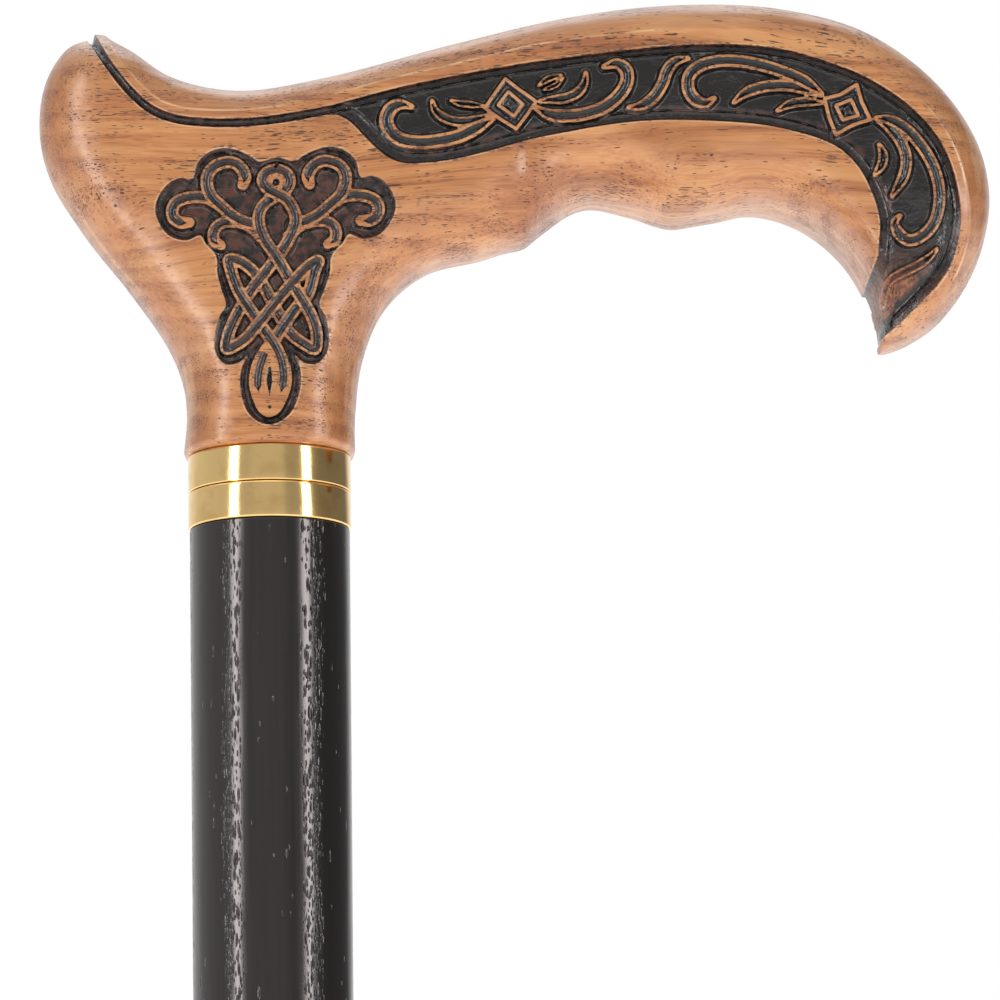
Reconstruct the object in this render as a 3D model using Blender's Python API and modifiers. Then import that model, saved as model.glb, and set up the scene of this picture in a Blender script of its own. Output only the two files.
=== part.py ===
"""A derby cane: a carved wooden handle, two brass collar rings, a lacquered shaft and a rubber tip.

Metres, +Z up. The origin is the centre of the tip's foot, +Z runs up the shaft, +X points to the
handle's nose, and the handle's two carved sides face -Y and +Y.
"""

import math

import bmesh
import bpy
import numpy as np
from mathutils.geometry import delaunay_2d_cdt

MM = 0.001
CLEARANCE = 0.3 * MM

# Overall: the floor to the highest point of the handle
CANE_LENGTH = 915.0 * MM

# Collar rings, whose bores the spigots of the handle and the shaft follow
COLLAR_DIAMETER = 22.0 * MM
COLLAR_WALL = 1.7 * MM
COLLAR_RING_HEIGHT = 4.55 * MM
COLLAR_SEAM_GAP = 0.3 * MM
COLLAR_SEAM_BEVEL = 0.35 * MM
COLLAR_OUTER_BEVEL = 0.5 * MM
SPIGOT_DIAMETER = COLLAR_DIAMETER - 2 * (COLLAR_WALL + CLEARANCE)

# Handle blank: its base overhangs the collar, and its outline runs in millimetres (across, above the collar)
BASE_OVERHANG = 0.6 * MM
BACK_OUTLINE_MM = (
    (-11.1, 6.0),
    (-11.7, 10.5),
    (-14.0, 16.0),
    (-19.3, 23.8),
    (-25.2, 31.6),
    (-29.7, 39.3),
    (-31.0, 46.0),
    (-29.9, 52.6),
    (-26.6, 57.2),
    (-23.0, 58.9),
)
TOP_OUTLINE_MM = (
    (-23.0, 58.9),
    (-18.4, 56.2),
    (-12.8, 52.2),
    (-4.0, 50.2),
    (7.5, 51.8),
    (24.6, 56.2),
    (42.0, 60.1),
    (57.0, 61.6),
    (70.5, 60.8),
    (82.0, 57.4),
    (91.3, 50.4),
    (96.9, 41.9),
    (98.4, 34.1),
    (96.7, 26.2),
    (91.9, 18.8),
    (87.3, 15.2),
    (83.6, 13.7),
)
INNER_OUTLINE_MM = (
    (11.7, 6.0),
    (12.8, 13.5),
    (16.0, 20.8),
    (21.5, 25.6),
    (30.8, 28.2),
    (37.0, 32.6),
    (43.2, 34.9),
    (49.3, 33.7),
    (55.2, 32.0),
    (64.7, 34.0),
    (72.4, 32.2),
    (78.3, 27.6),
    (81.9, 21.5),
    (82.9, 16.6),
    (83.6, 13.7),
)

# Half thickness of the blank and the width of its rounded edges: (across, above the collar,
# half thickness, width of the rounding at the back, at the top, at the inner side), in millimetres
BLANK_STATIONS_MM = (
    (0.0, 0.0, 11.6, 9.5, 6.0, 9.5),
    (0.0, 14.0, 11.6, 10.5, 6.0, 11.0),
    (-6.0, 34.0, 11.0, 11.5, 5.5, 12.0),
    (-18.0, 48.0, 11.2, 11.5, 5.5, 10.0),
    (16.0, 41.0, 11.6, 11.0, 5.5, 10.0),
    (46.0, 47.0, 12.6, 11.0, 5.5, 9.0),
    (72.0, 47.0, 13.6, 11.0, 6.0, 8.5),
    (90.0, 36.0, 14.6, 11.0, 7.0, 6.0),
    (88.0, 23.0, 13.0, 11.0, 9.5, 5.5),
    (84.0, 15.0, 9.0, 11.0, 9.5, 4.5),
)
STATION_REACH = 16.0 * MM
EDGE_SQUARENESS = 2.4

# Carving: a sunk panel along each side, and a line from the panel round the knob
PANEL_DEPTH = 0.8 * MM
PANEL_WALL_DRAFT = 0.12 * MM
PANEL_UPPER_MM = (
    (10.4, 46.2),
    (19.4, 49.0),
    (38.1, 52.1),
    (58.8, 53.8),
    (69.3, 53.1),
    (75.4, 51.4),
    (81.6, 48.7),
    (87.5, 44.2),
    (91.1, 39.3),
    (93.1, 33.0),
    (93.1, 28.0),
    (91.4, 22.4),
    (88.3, 18.4),
    (84.9, 16.2),
)
PANEL_LOWER_MM = (
    (11.6, 44.7),
    (14.1, 41.5),
    (16.6, 39.0),
    (19.8, 37.8),
    (25.5, 38.2),
    (37.9, 41.1),
    (50.2, 42.9),
    (59.7, 42.8),
    (68.9, 41.7),
    (76.5, 39.1),
    (79.8, 36.1),
    (81.8, 31.7),
    (82.6, 27.0),
    (83.0, 22.0),
    (83.7, 17.8),
)
LINE_WIDTH = 0.7 * MM
LINE_DEPTH = 0.6 * MM
LINE_ROUTE_MM = (
    (-23.8, 58.0),
    (-23.0, 55.4),
    (-21.5, 52.0),
    (-18.4, 48.8),
    (-15.0, 46.5),
    (-9.0, 44.0),
    (-3.9, 43.8),
    (1.2, 44.2),
    (6.3, 45.2),
    (10.4, 46.2),
)

# How finely the blank is faceted
OUTLINE_STEP = 2.2 * MM
GRID_STEP = 4.0 * MM
ROUNDING_RINGS = 6
CARVED_EDGE_GAP = 0.6 * MM
POINT_GAP = 0.35 * MM
RING_DEPTH_SHARE = 0.9
SLOPE_PROBE = 0.05 * MM
RIM_HALF_THICKNESS = 0.01 * MM
MERGE_DISTANCE = 0.001 * MM
CDT_TOLERANCE = 1e-7
SHARP_ANGLE = math.radians(35.0)

# Threaded insert in the handle, and the stud that joins the handle to the shaft
STUD_DIAMETER = 8.0 * MM
STUD_LENGTH = 58.0 * MM
INSERT_DIAMETER = 12.0 * MM
INSERT_LENGTH = 26.0 * MM
STUD_END_CHAMFER = 0.8 * MM
INSERT_CHAMFER = 0.6 * MM

# Shaft, whose shoulder stands a little inside the collar
SHAFT_SHOULDER_STEP = 0.2 * MM
SHAFT_TOP_DIAMETER = COLLAR_DIAMETER - 2 * SHAFT_SHOULDER_STEP
SHAFT_FOOT_DIAMETER = 18.0 * MM
SHAFT_EDGE_BEVEL = 0.5 * MM

# Rubber tip and the washer in its floor. A rib's pitch holds a slope, a groove and a slope again,
# and a tread ring's pitch holds a land, a wall, a groove and a wall again.
TIP_FOOT_DIAMETER = 36.0 * MM
TIP_MOUTH_DIAMETER = 26.0 * MM
TIP_HEIGHT = 48.0 * MM
TIP_FLOOR = 10.0 * MM
TIP_GRIP_CLEARANCE = 0.2 * MM
TIP_EDGE_CHAMFER = 1.2 * MM
TIP_SOLE_HEIGHT = 5.0 * MM
TIP_FLARE_HEIGHT = 20.0 * MM
TIP_FLARE_STEPS = 5
TIP_RIB_COUNT = 4
TIP_RIB_HEIGHT = 0.9 * MM
TIP_RIB_SLOPE_SHARE = 0.15
TIP_RIB_GROOVE_SHARE = 0.25
TIP_TREAD_RINGS = 3
TIP_TREAD_DEPTH = 1.5 * MM
TIP_TREAD_LAND_SHARE = 0.45
TIP_TREAD_WALL_SHARE = 0.10
TIP_CENTRE_DISC_DIAMETER = 10.0 * MM
WASHER_THICKNESS = 1.6 * MM
WASHER_HOLE_DIAMETER = 6.0 * MM
WASHER_MARGIN = 0.5 * MM

ROUND_STEPS = 48
SMALL_ROUND_STEPS = 32

# Heights that follow from the sizes above
HANDLE_SEAT = CANE_LENGTH - max(z for _, z in TOP_OUTLINE_MM) * MM
UPPER_RING_FOOT = HANDLE_SEAT - CLEARANCE - COLLAR_RING_HEIGHT
LOWER_RING_TOP = UPPER_RING_FOOT - COLLAR_SEAM_GAP
LOWER_RING_FOOT = LOWER_RING_TOP - COLLAR_RING_HEIGHT
SHAFT_SHOULDER = LOWER_RING_FOOT - CLEARANCE
SHAFT_FOOT = TIP_FLOOR + 2 * CLEARANCE + WASHER_THICKNESS

HANDLE_WOOD = ("handle_wood", (0.58, 0.30, 0.14), 0.38, 0.0)
BRASS = ("collar_brass", (0.78, 0.60, 0.27), 0.14, 1.0)
INSERT_BRASS = ("insert_brass", (0.72, 0.56, 0.28), 0.32, 1.0)
STEEL = ("stud_steel", (0.58, 0.58, 0.60), 0.30, 1.0)
SHAFT_LACQUER = ("shaft_lacquer", (0.020, 0.017, 0.015), 0.22, 0.0)
TIP_RUBBER = ("tip_rubber", (0.018, 0.018, 0.019), 0.75, 0.0)
WASHER_STEEL = ("washer_steel", (0.50, 0.51, 0.53), 0.35, 1.0)


def clear_scene():
    """Removes every object of the opening scene."""
    for old in list(bpy.data.objects):
        bpy.data.objects.remove(old, do_unlink=True)


def new_collection(name):
    """A collection in the scene for parts or for cutters."""
    collection = bpy.data.collections.new(name)
    bpy.context.scene.collection.children.link(collection)
    return collection


def finish_material(finish):
    """The material of one finish, made once and then shared."""
    name, colour, roughness, metallic = finish
    if name in bpy.data.materials:
        return bpy.data.materials[name]
    material = bpy.data.materials.new(name)
    material.use_nodes = True
    shader = material.node_tree.nodes["Principled BSDF"]
    shader.inputs["Base Color"].default_value = (*colour, 1.0)
    shader.inputs["Roughness"].default_value = roughness
    shader.inputs["Metallic"].default_value = metallic
    material.diffuse_color = (*colour, 1.0)
    return material


def add_object(name, mesh, collection, finish=None):
    """Links a mesh as an object, with its material if it is a part."""
    made = bpy.data.objects.new(name, mesh)
    if finish:
        mesh.materials.append(finish_material(finish))
    collection.objects.link(made)
    return made


def hide_helper(helper):
    """Keeps a cutter out of the render and draws it as wire."""
    helper.hide_render = True
    helper.display_type = "WIRE"


def turned(name, profile, collection, finish=None, steps=ROUND_STEPS, closed=True):
    """A turned shape about Z. The profile of (radius, height) runs down its outer side, top to bottom."""
    mesh = bpy.data.meshes.new(name)
    edges = [(i, i + 1) for i in range(len(profile) - 1)]
    if closed:
        edges.append((len(profile) - 1, 0))
    mesh.from_pydata([(radius, 0.0, height) for radius, height in profile], edges, [])
    made = add_object(name, mesh, collection, finish)
    screw = made.modifiers.new("Turn", "SCREW")
    screw.axis = "Z"
    screw.steps = steps
    screw.render_steps = steps
    screw.use_merge_vertices = True
    screw.merge_threshold = MERGE_DISTANCE
    screw.use_smooth_shade = False
    return made


def boolean(target, other, operation):
    """Joins or cuts a part with a helper."""
    step = target.modifiers.new(operation.title(), "BOOLEAN")
    step.operation = operation
    step.solver = "EXACT"
    step.object = other


def spline(points_mm, step):
    """A smooth curve through points given in millimetres, as an array of points in metres."""
    points = np.array(points_mm, float) * MM
    before = 2 * points[0] - points[1]
    after = 2 * points[-1] - points[-2]
    knots = np.vstack([before, points, after])
    spans = np.sqrt(np.linalg.norm(np.diff(knots, axis=0), axis=1))
    times = np.concatenate([[0.0], np.cumsum(spans)])
    out = []
    for i in range(1, len(knots) - 2):
        count = max(1, round(float(np.linalg.norm(knots[i + 1] - knots[i])) / step))
        t = np.linspace(times[i], times[i + 1], count, endpoint=False)[:, None]
        a1 = blend(knots[i - 1], knots[i], times[i - 1], times[i], t)
        a2 = blend(knots[i], knots[i + 1], times[i], times[i + 1], t)
        a3 = blend(knots[i + 1], knots[i + 2], times[i + 1], times[i + 2], t)
        b1 = blend(a1, a2, times[i - 1], times[i + 1], t)
        b2 = blend(a2, a3, times[i], times[i + 2], t)
        out.append(blend(b1, b2, times[i], times[i + 1], t))
    return np.vstack([*out, points[-1:]])


def blend(low, high, start, end, t):
    """Linear blend from low at start to high at end."""
    share = (t - start) / (end - start)
    return low * (1 - share) + high * share


def stretched(curve, reach):
    """The curve with a straight run added at both ends."""
    first = curve[0] + (curve[0] - curve[1]) / np.linalg.norm(curve[0] - curve[1]) * reach
    last = curve[-1] + (curve[-1] - curve[-2]) / np.linalg.norm(curve[-1] - curve[-2]) * reach
    return np.vstack([first, curve, last])


def distance_to(curve, points):
    """The distance from each point to an open polyline."""
    start = curve[:-1][None]
    run = np.diff(curve, axis=0)[None]
    offset = points[:, None] - start
    along = np.clip((offset * run).sum(2) / (run * run).sum(2), 0.0, 1.0)
    return np.linalg.norm(offset - along[..., None] * run, axis=2).min(axis=1)


def inside(polygon, points):
    """Which points lie inside a closed polygon."""
    x, z = points[:, :1], points[:, 1:]
    ax, az = polygon[:, 0][None], polygon[:, 1][None]
    bx, bz = np.roll(ax, -1, axis=1), np.roll(az, -1, axis=1)
    spans = (az > z) != (bz > z)
    rise = np.where(bz == az, 1.0, bz - az)
    crossing = ax + (z - az) * (bx - ax) / rise
    return (spans & (x < crossing)).sum(axis=1) % 2 == 1


def offset_line(curve, distance):
    """The curve moved to its left by a distance."""
    ahead = np.gradient(curve, axis=0)
    ahead /= np.linalg.norm(ahead, axis=1)[:, None]
    left = np.column_stack([-ahead[:, 1], ahead[:, 0]])
    return curve + left * distance


class Blank:
    """The handle's wood: an outline in the XZ plane, with a thickness that falls away at its edges."""

    def __init__(self):
        half_base = COLLAR_DIAMETER / 2 + BASE_OVERHANG
        base = half_base / MM
        self.half_base = half_base
        self.back = spline(((-base, 0.0), *BACK_OUTLINE_MM), OUTLINE_STEP)
        self.top = spline(TOP_OUTLINE_MM, OUTLINE_STEP)
        self.inner = spline(((base, 0.0), *INNER_OUTLINE_MM), OUTLINE_STEP)
        self.edges = [stretched(curve, 4 * OUTLINE_STEP) for curve in (self.back, self.top, self.inner)]
        self.stations = np.array(BLANK_STATIONS_MM) * MM

    def outline(self):
        """The closed outline, from the back of the base up, over the top and back under the hand."""
        return np.vstack([self.back[:-1], self.top[:-1], self.inner[::-1]])

    def base_line(self):
        """The inner points of the straight foot of the outline, from +X to -X."""
        count = round(2 * self.half_base / OUTLINE_STEP)
        across = np.linspace(self.half_base, -self.half_base, count + 1)[1:-1]
        return np.column_stack([across, np.zeros(len(across))])

    def sizes_at(self, points):
        """Half thickness and the three rounding widths at each point, eased between the stations."""
        gap = np.linalg.norm(points[:, None] - self.stations[None, :, :2], axis=2)
        weight = 1.0 / (gap * gap + STATION_REACH**2) ** 2
        weight /= weight.sum(axis=1)[:, None]
        return weight @ self.stations[:, 2:]

    def fullness(self, points):
        """How much of the thickness is left at each point: 0 on the outline, 1 past the roundings."""
        sizes = self.sizes_at(points)
        full = np.ones(len(points))
        for column, edge in enumerate(self.edges, 1):
            share = np.clip(distance_to(edge, points) / sizes[:, column], 0.0, 1.0)
            full *= 1.0 - (1.0 - share) ** EDGE_SQUARENESS
        return full

    def half_thickness(self, points):
        """The wood's half thickness at each point."""
        return self.sizes_at(points)[:, 0] * self.fullness(points) ** (1.0 / EDGE_SQUARENESS)

    def normals(self, points):
        """The outward normal of the -Y side at each point, also on the outline."""
        slopes = []
        for axis in range(2):
            aside = np.zeros(2)
            aside[axis] = SLOPE_PROBE
            rise = self.fullness(points + aside) - self.fullness(points - aside)
            slopes.append(rise / (2 * SLOPE_PROBE))
        thick = self.sizes_at(points)[:, 0]
        height = self.half_thickness(points)
        facing = EDGE_SQUARENESS * height ** (EDGE_SQUARENESS - 1) / thick**EDGE_SQUARENESS
        normal = np.column_stack([-slopes[0], -facing, -slopes[1]])
        return normal / np.linalg.norm(normal, axis=1)[:, None]


def rounding_points(blank):
    """Points in rings inside the outline, closer together where the thickness falls away faster."""
    rings = []
    for column, curve in enumerate((blank.back, blank.top, blank.inner), 1):
        side = 1.0 if curve is blank.inner else -1.0
        width = blank.sizes_at(curve)[:, column]
        for ring in range(1, ROUNDING_RINGS + 1):
            angle = math.radians(90.0 * ring / ROUNDING_RINGS)
            depth = width * (1.0 - math.cos(angle))
            moved = curve + (offset_line(curve, side) - curve) * depth[:, None]
            nearest = np.min([distance_to(edge, moved) for edge in blank.edges], axis=0)
            rings.append(moved[(nearest > RING_DEPTH_SHARE * depth) & (moved[:, 1] > OUTLINE_STEP / 2)])
    return np.vstack(rings)


def grid_points(outline):
    """An even grid inside the outline, kept off its edge."""
    low = outline.min(axis=0)
    high = outline.max(axis=0)
    across = np.arange(low[0], high[0], GRID_STEP)
    upward = np.arange(low[1] + GRID_STEP, high[1], GRID_STEP)
    grid = np.stack(np.meshgrid(across, upward), axis=-1).reshape(-1, 2)
    loop = np.vstack([outline, outline[:1]])
    return grid[distance_to(loop, grid) > GRID_STEP / 2]


class Carving:
    """The sunk panel and the carved line, as outlines in the XZ plane with a depth for each point."""

    def __init__(self):
        upper = spline(PANEL_UPPER_MM, OUTLINE_STEP)
        lower = spline(PANEL_LOWER_MM, OUTLINE_STEP)
        self.panel = np.vstack([upper, lower[::-1]])
        self.panel_floor = self.shrunk(self.panel, PANEL_WALL_DRAFT)
        route = spline(LINE_ROUTE_MM, OUTLINE_STEP)[:-1]
        self.line = route
        self.line_edges = [offset_line(route, side * LINE_WIDTH / 2) for side in (-1, 1)]

    @staticmethod
    def shrunk(polygon, distance):
        """The clockwise polygon moved inwards."""
        ahead = np.roll(polygon, -1, axis=0) - np.roll(polygon, 1, axis=0)
        ahead /= np.linalg.norm(ahead, axis=1)[:, None]
        return polygon + np.column_stack([ahead[:, 1], -ahead[:, 0]]) * distance

    def chains(self):
        """(points, depth, closed) of each line that the facets must follow."""
        yield self.panel, 0.0, True
        yield self.panel_floor, PANEL_DEPTH, True
        yield self.line, LINE_DEPTH, False
        for edge in self.line_edges:
            yield edge, 0.0, False

    def far_from(self, points, gap):
        """Which points keep the gap to every carved edge."""
        far = np.ones(len(points), bool)
        for chain, _, closed in self.chains():
            loop = np.vstack([chain, chain[:1]]) if closed else chain
            far &= distance_to(loop, points) > gap
        return far


def thinned(points, gap):
    """The points without those closer than the gap to an earlier one."""
    kept = []
    cells = {}
    for point in points:
        cell = (int(point[0] // gap), int(point[1] // gap))
        around = [cells.get((cell[0] + i, cell[1] + j)) for i in (-1, 0, 1) for j in (-1, 0, 1)]
        if all(other is None or np.linalg.norm(other - point) >= gap for other in around):
            cells[cell] = point
            kept.append(point)
    return np.array(kept)


def blank_mesh():
    """The closed mesh of the carved blank, with its base at the height of the handle's seat."""
    blank = Blank()
    carving = Carving()
    outline = blank.outline()
    base = blank.base_line()
    loose = np.vstack([rounding_points(blank), grid_points(outline)])
    loose = loose[inside(outline, loose)]
    loose = loose[carving.far_from(loose, CARVED_EDGE_GAP)]
    loose = thinned(loose, POINT_GAP)

    points = [outline, base, loose]
    depths = [np.zeros(len(outline)), np.zeros(len(base)), None]
    depths[2] = np.where(inside(carving.panel, loose), PANEL_DEPTH, 0.0)
    rim = len(outline) + len(base)
    links = [(i, (i + 1) % rim) for i in range(rim)]
    start = rim + len(loose)
    for chain, depth, closed in carving.chains():
        points.append(chain)
        depths.append(np.full(len(chain), depth))
        links += [(start + i, start + i + 1) for i in range(len(chain) - 1)]
        if closed:
            links.append((start + len(chain) - 1, start))
        start += len(chain)
    points = np.vstack(points)
    depths = np.concatenate(depths)

    flat = delaunay_2d_cdt([tuple(p) for p in points], links, [], 1, CDT_TOLERANCE)
    places, faces, origins = flat[0], flat[2], flat[3]
    xz = np.array([tuple(p) for p in places])
    depth = np.array([depths[ids[0]] if ids else 0.0 for ids in origins])
    return lifted_mesh(blank, xz, faces, depth)


def lifted_mesh(blank, xz, faces, depth):
    """Raises flat facets to the blank's -Y side, mirrors them to its +Y side and closes the base."""
    height = blank.half_thickness(xz)
    normal = blank.normals(xz)
    front = np.column_stack([xz[:, 0], -height, xz[:, 1]]) - normal * depth[:, None]
    back = front * (1.0, -1.0, 1.0)
    shape = bmesh.new()
    front_verts = [shape.verts.new(p) for p in front]
    on_rim = height < RIM_HALF_THICKNESS
    back_verts = [front_verts[i] if on_rim[i] else shape.verts.new(back[i]) for i in range(len(back))]
    for face in faces:
        corners = [front_verts[i] for i in face]
        shape.faces.new(corners)
        mirrored = [back_verts[i] for i in reversed(face)]
        shape.faces.new(mirrored)
    bmesh.ops.holes_fill(shape, edges=[e for e in shape.edges if e.is_boundary], sides=0)
    bmesh.ops.recalc_face_normals(shape, faces=shape.faces)
    bmesh.ops.triangulate(shape, faces=[f for f in shape.faces if len(f.verts) > 3])
    mesh = bpy.data.meshes.new("handle")
    shape.to_mesh(mesh)
    shape.free()
    mesh.shade_smooth()
    mesh.set_sharp_from_angle(angle=SHARP_ANGLE)
    return mesh


def make_handle(parts, cutters):
    """The carved handle with its spigot and the bore for the threaded insert."""
    handle = add_object("handle", blank_mesh(), parts, HANDLE_WOOD)
    handle.location.z = HANDLE_SEAT
    spigot_foot = UPPER_RING_FOOT
    bury = 2 * COLLAR_RING_HEIGHT
    spigot = turned(
        "handle_spigot",
        [
            (0.0, HANDLE_SEAT + bury),
            (SPIGOT_DIAMETER / 2, HANDLE_SEAT + bury),
            (SPIGOT_DIAMETER / 2, spigot_foot),
            (0.0, spigot_foot),
        ],
        cutters,
        closed=False,
    )
    radius = INSERT_DIAMETER / 2 + CLEARANCE
    bore = turned(
        "handle_bore",
        [
            (0.0, spigot_foot + INSERT_LENGTH + 2 * CLEARANCE),
            (radius, spigot_foot + INSERT_LENGTH + 2 * CLEARANCE),
            (radius, spigot_foot - COLLAR_RING_HEIGHT),
            (0.0, spigot_foot - COLLAR_RING_HEIGHT),
        ],
        cutters,
        steps=SMALL_ROUND_STEPS,
        closed=False,
    )
    for helper in (spigot, bore):
        hide_helper(helper)
    boolean(handle, spigot, "UNION")
    boolean(handle, bore, "DIFFERENCE")


def ring_profile(foot, top_bevel, foot_bevel):
    """The section of one collar ring whose foot stands at a height."""
    outer = COLLAR_DIAMETER / 2
    bore = outer - COLLAR_WALL
    top = foot + COLLAR_RING_HEIGHT
    return [
        (bore, top),
        (outer - top_bevel, top),
        (outer, top - top_bevel),
        (outer, foot + foot_bevel),
        (outer - foot_bevel, foot),
        (bore, foot),
    ]


def make_collar(parts):
    """The two brass rings, one on the handle's spigot and one on the shaft's."""
    upper = ring_profile(UPPER_RING_FOOT, COLLAR_OUTER_BEVEL, COLLAR_SEAM_BEVEL)
    lower = ring_profile(LOWER_RING_FOOT, COLLAR_SEAM_BEVEL, COLLAR_OUTER_BEVEL)
    turned("collar_upper_ring", upper, parts, BRASS)
    turned("collar_lower_ring", lower, parts, BRASS)


def make_insert(parts):
    """The brass sleeve in the handle, with the stud's hole through it."""
    foot = UPPER_RING_FOOT + CLEARANCE
    top = foot + INSERT_LENGTH
    outer = INSERT_DIAMETER / 2
    hole = STUD_DIAMETER / 2 + CLEARANCE
    profile = [
        (hole, top),
        (outer - INSERT_CHAMFER, top),
        (outer, top - INSERT_CHAMFER),
        (outer, foot + INSERT_CHAMFER),
        (outer - INSERT_CHAMFER, foot),
        (hole, foot),
    ]
    turned("handle_insert", profile, parts, INSERT_BRASS, steps=SMALL_ROUND_STEPS)


def stud_ends():
    """The heights of the stud's foot and top, with its top just under the insert's."""
    top = UPPER_RING_FOOT + INSERT_LENGTH
    return top - STUD_LENGTH, top


def make_stud(parts):
    """The steel stud between the handle and the shaft."""
    foot, top = stud_ends()
    radius = STUD_DIAMETER / 2
    profile = [
        (0.0, top),
        (radius - STUD_END_CHAMFER, top),
        (radius, top - STUD_END_CHAMFER),
        (radius, foot + STUD_END_CHAMFER),
        (radius - STUD_END_CHAMFER, foot),
        (0.0, foot),
    ]
    turned("stud", profile, parts, STEEL, steps=SMALL_ROUND_STEPS, closed=False)


def shaft_radius(height):
    """The tapered shaft's radius at a height."""
    share = (height - SHAFT_FOOT) / (SHAFT_SHOULDER - SHAFT_FOOT)
    return (SHAFT_FOOT_DIAMETER + (SHAFT_TOP_DIAMETER - SHAFT_FOOT_DIAMETER) * share) / 2


def make_shaft(parts):
    """The tapered stick with a spigot for the lower ring and a blind hole for the stud."""
    top = SHAFT_SHOULDER + CLEARANCE + COLLAR_RING_HEIGHT
    hole = STUD_DIAMETER / 2 + CLEARANCE
    hole_floor = stud_ends()[0] - CLEARANCE
    edge_height = SHAFT_SHOULDER - SHAFT_EDGE_BEVEL
    profile = [
        (0.0, hole_floor),
        (hole, hole_floor),
        (hole, top),
        (SPIGOT_DIAMETER / 2, top),
        (SPIGOT_DIAMETER / 2, SHAFT_SHOULDER),
        (shaft_radius(edge_height) - SHAFT_EDGE_BEVEL, SHAFT_SHOULDER),
        (shaft_radius(edge_height), edge_height),
        (shaft_radius(SHAFT_FOOT + SHAFT_EDGE_BEVEL), SHAFT_FOOT + SHAFT_EDGE_BEVEL),
        (shaft_radius(SHAFT_FOOT) - SHAFT_EDGE_BEVEL, SHAFT_FOOT),
        (0.0, SHAFT_FOOT),
    ]
    turned("shaft", profile, parts, SHAFT_LACQUER, closed=False)


def tip_outer_profile():
    """The tip's outside from its mouth down to the foot's edge: ribs on a sleeve that flares to the foot."""
    mouth = TIP_MOUTH_DIAMETER / 2
    foot = TIP_FOOT_DIAMETER / 2
    chamfer = TIP_EDGE_CHAMFER
    profile = [(mouth - chamfer, TIP_HEIGHT), (mouth, TIP_HEIGHT - chamfer)]
    ribs_top = TIP_HEIGHT - 2 * chamfer
    pitch = (ribs_top - TIP_FLARE_HEIGHT) / TIP_RIB_COUNT
    slope = TIP_RIB_SLOPE_SHARE * pitch
    groove = TIP_RIB_GROOVE_SHARE * pitch
    for rib in range(TIP_RIB_COUNT):
        high = ribs_top - rib * pitch
        profile += [
            (mouth, high),
            (mouth - TIP_RIB_HEIGHT, high - slope),
            (mouth - TIP_RIB_HEIGHT, high - slope - groove),
            (mouth, high - 2 * slope - groove),
        ]
    for turn in range(1, TIP_FLARE_STEPS + 1):
        angle = math.radians(90.0 * turn / TIP_FLARE_STEPS)
        radius = mouth + (foot - mouth) * (1.0 - math.cos(angle))
        height = TIP_SOLE_HEIGHT + (TIP_FLARE_HEIGHT - TIP_SOLE_HEIGHT) * (1.0 - math.sin(angle))
        profile.append((radius, height))
    profile += [(foot, chamfer), (foot - chamfer, 0.0)]
    return profile


def tip_tread_profile():
    """The foot from its edge to the centre: rings of tread round a flat disc."""
    outer = TIP_FOOT_DIAMETER / 2 - TIP_EDGE_CHAMFER
    disc = TIP_CENTRE_DISC_DIAMETER / 2
    pitch = (outer - disc) / TIP_TREAD_RINGS
    land = TIP_TREAD_LAND_SHARE * pitch
    wall = TIP_TREAD_WALL_SHARE * pitch
    profile = []
    for ring in range(TIP_TREAD_RINGS):
        edge = outer - ring * pitch
        profile += [
            (edge - land, 0.0),
            (edge - land - wall, TIP_TREAD_DEPTH),
            (edge - pitch + wall, TIP_TREAD_DEPTH),
            (edge - pitch, 0.0),
        ]
    return profile


def make_tip(parts):
    """The rubber foot with its socket for the shaft and the washer on the socket's floor."""
    socket = shaft_radius(TIP_HEIGHT) + TIP_GRIP_CLEARANCE
    profile = (
        tip_outer_profile()
        + tip_tread_profile()
        + [(0.0, 0.0), (0.0, TIP_FLOOR), (socket, TIP_FLOOR), (socket, TIP_HEIGHT)]
    )
    turned("rubber_tip", profile, parts, TIP_RUBBER)
    washer_foot = TIP_FLOOR + CLEARANCE
    washer_edge = socket - WASHER_MARGIN
    washer = [
        (WASHER_HOLE_DIAMETER / 2, washer_foot + WASHER_THICKNESS),
        (washer_edge, washer_foot + WASHER_THICKNESS),
        (washer_edge, washer_foot),
        (WASHER_HOLE_DIAMETER / 2, washer_foot),
    ]
    turned("tip_washer", washer, parts, WASHER_STEEL, steps=SMALL_ROUND_STEPS)


def parent_tip(parts):
    """Puts the tip and its washer under an empty on their sliding axis."""
    carrier = bpy.data.objects.new("tip_slide_axis", None)
    carrier.empty_display_size = TIP_HEIGHT
    parts.objects.link(carrier)
    for name in ("rubber_tip", "tip_washer"):
        bpy.data.objects[name].parent = carrier


def main():
    """Builds the cane."""
    clear_scene()
    parts = new_collection("derby_cane")
    cutters = new_collection("cutters")
    cutters.hide_render = True
    make_handle(parts, cutters)
    make_collar(parts)
    make_insert(parts)
    make_stud(parts)
    make_shaft(parts)
    make_tip(parts)
    parent_tip(parts)


main()
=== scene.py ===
"""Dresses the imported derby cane: carved wooden handle, brass collar, lacquered shaft and rubber tip.

Metres, +Z up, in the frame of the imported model: the origin is the centre of the tip's foot and +X points
to the handle's nose. Sizes in the classes below are millimetres, apart from the floor and the strip
lamps, which are in metres. The handle's plan is drawn in its own plane: the first number runs across
along +X, the second is the height above the handle's seat.
"""

import itertools
import logging
import math
from dataclasses import dataclass
from enum import Enum
from typing import Any, NamedTuple

import bmesh
import bpy
import numpy as np
from bpy.types import ID, Material, Mesh, Node, NodeOutputs, NodeTree, Object
from bpy.types import NodeSocket as Socket
from mathutils import Matrix, Vector
from mathutils.geometry import delaunay_2d_cdt
from mathutils.kdtree import KDTree


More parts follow.
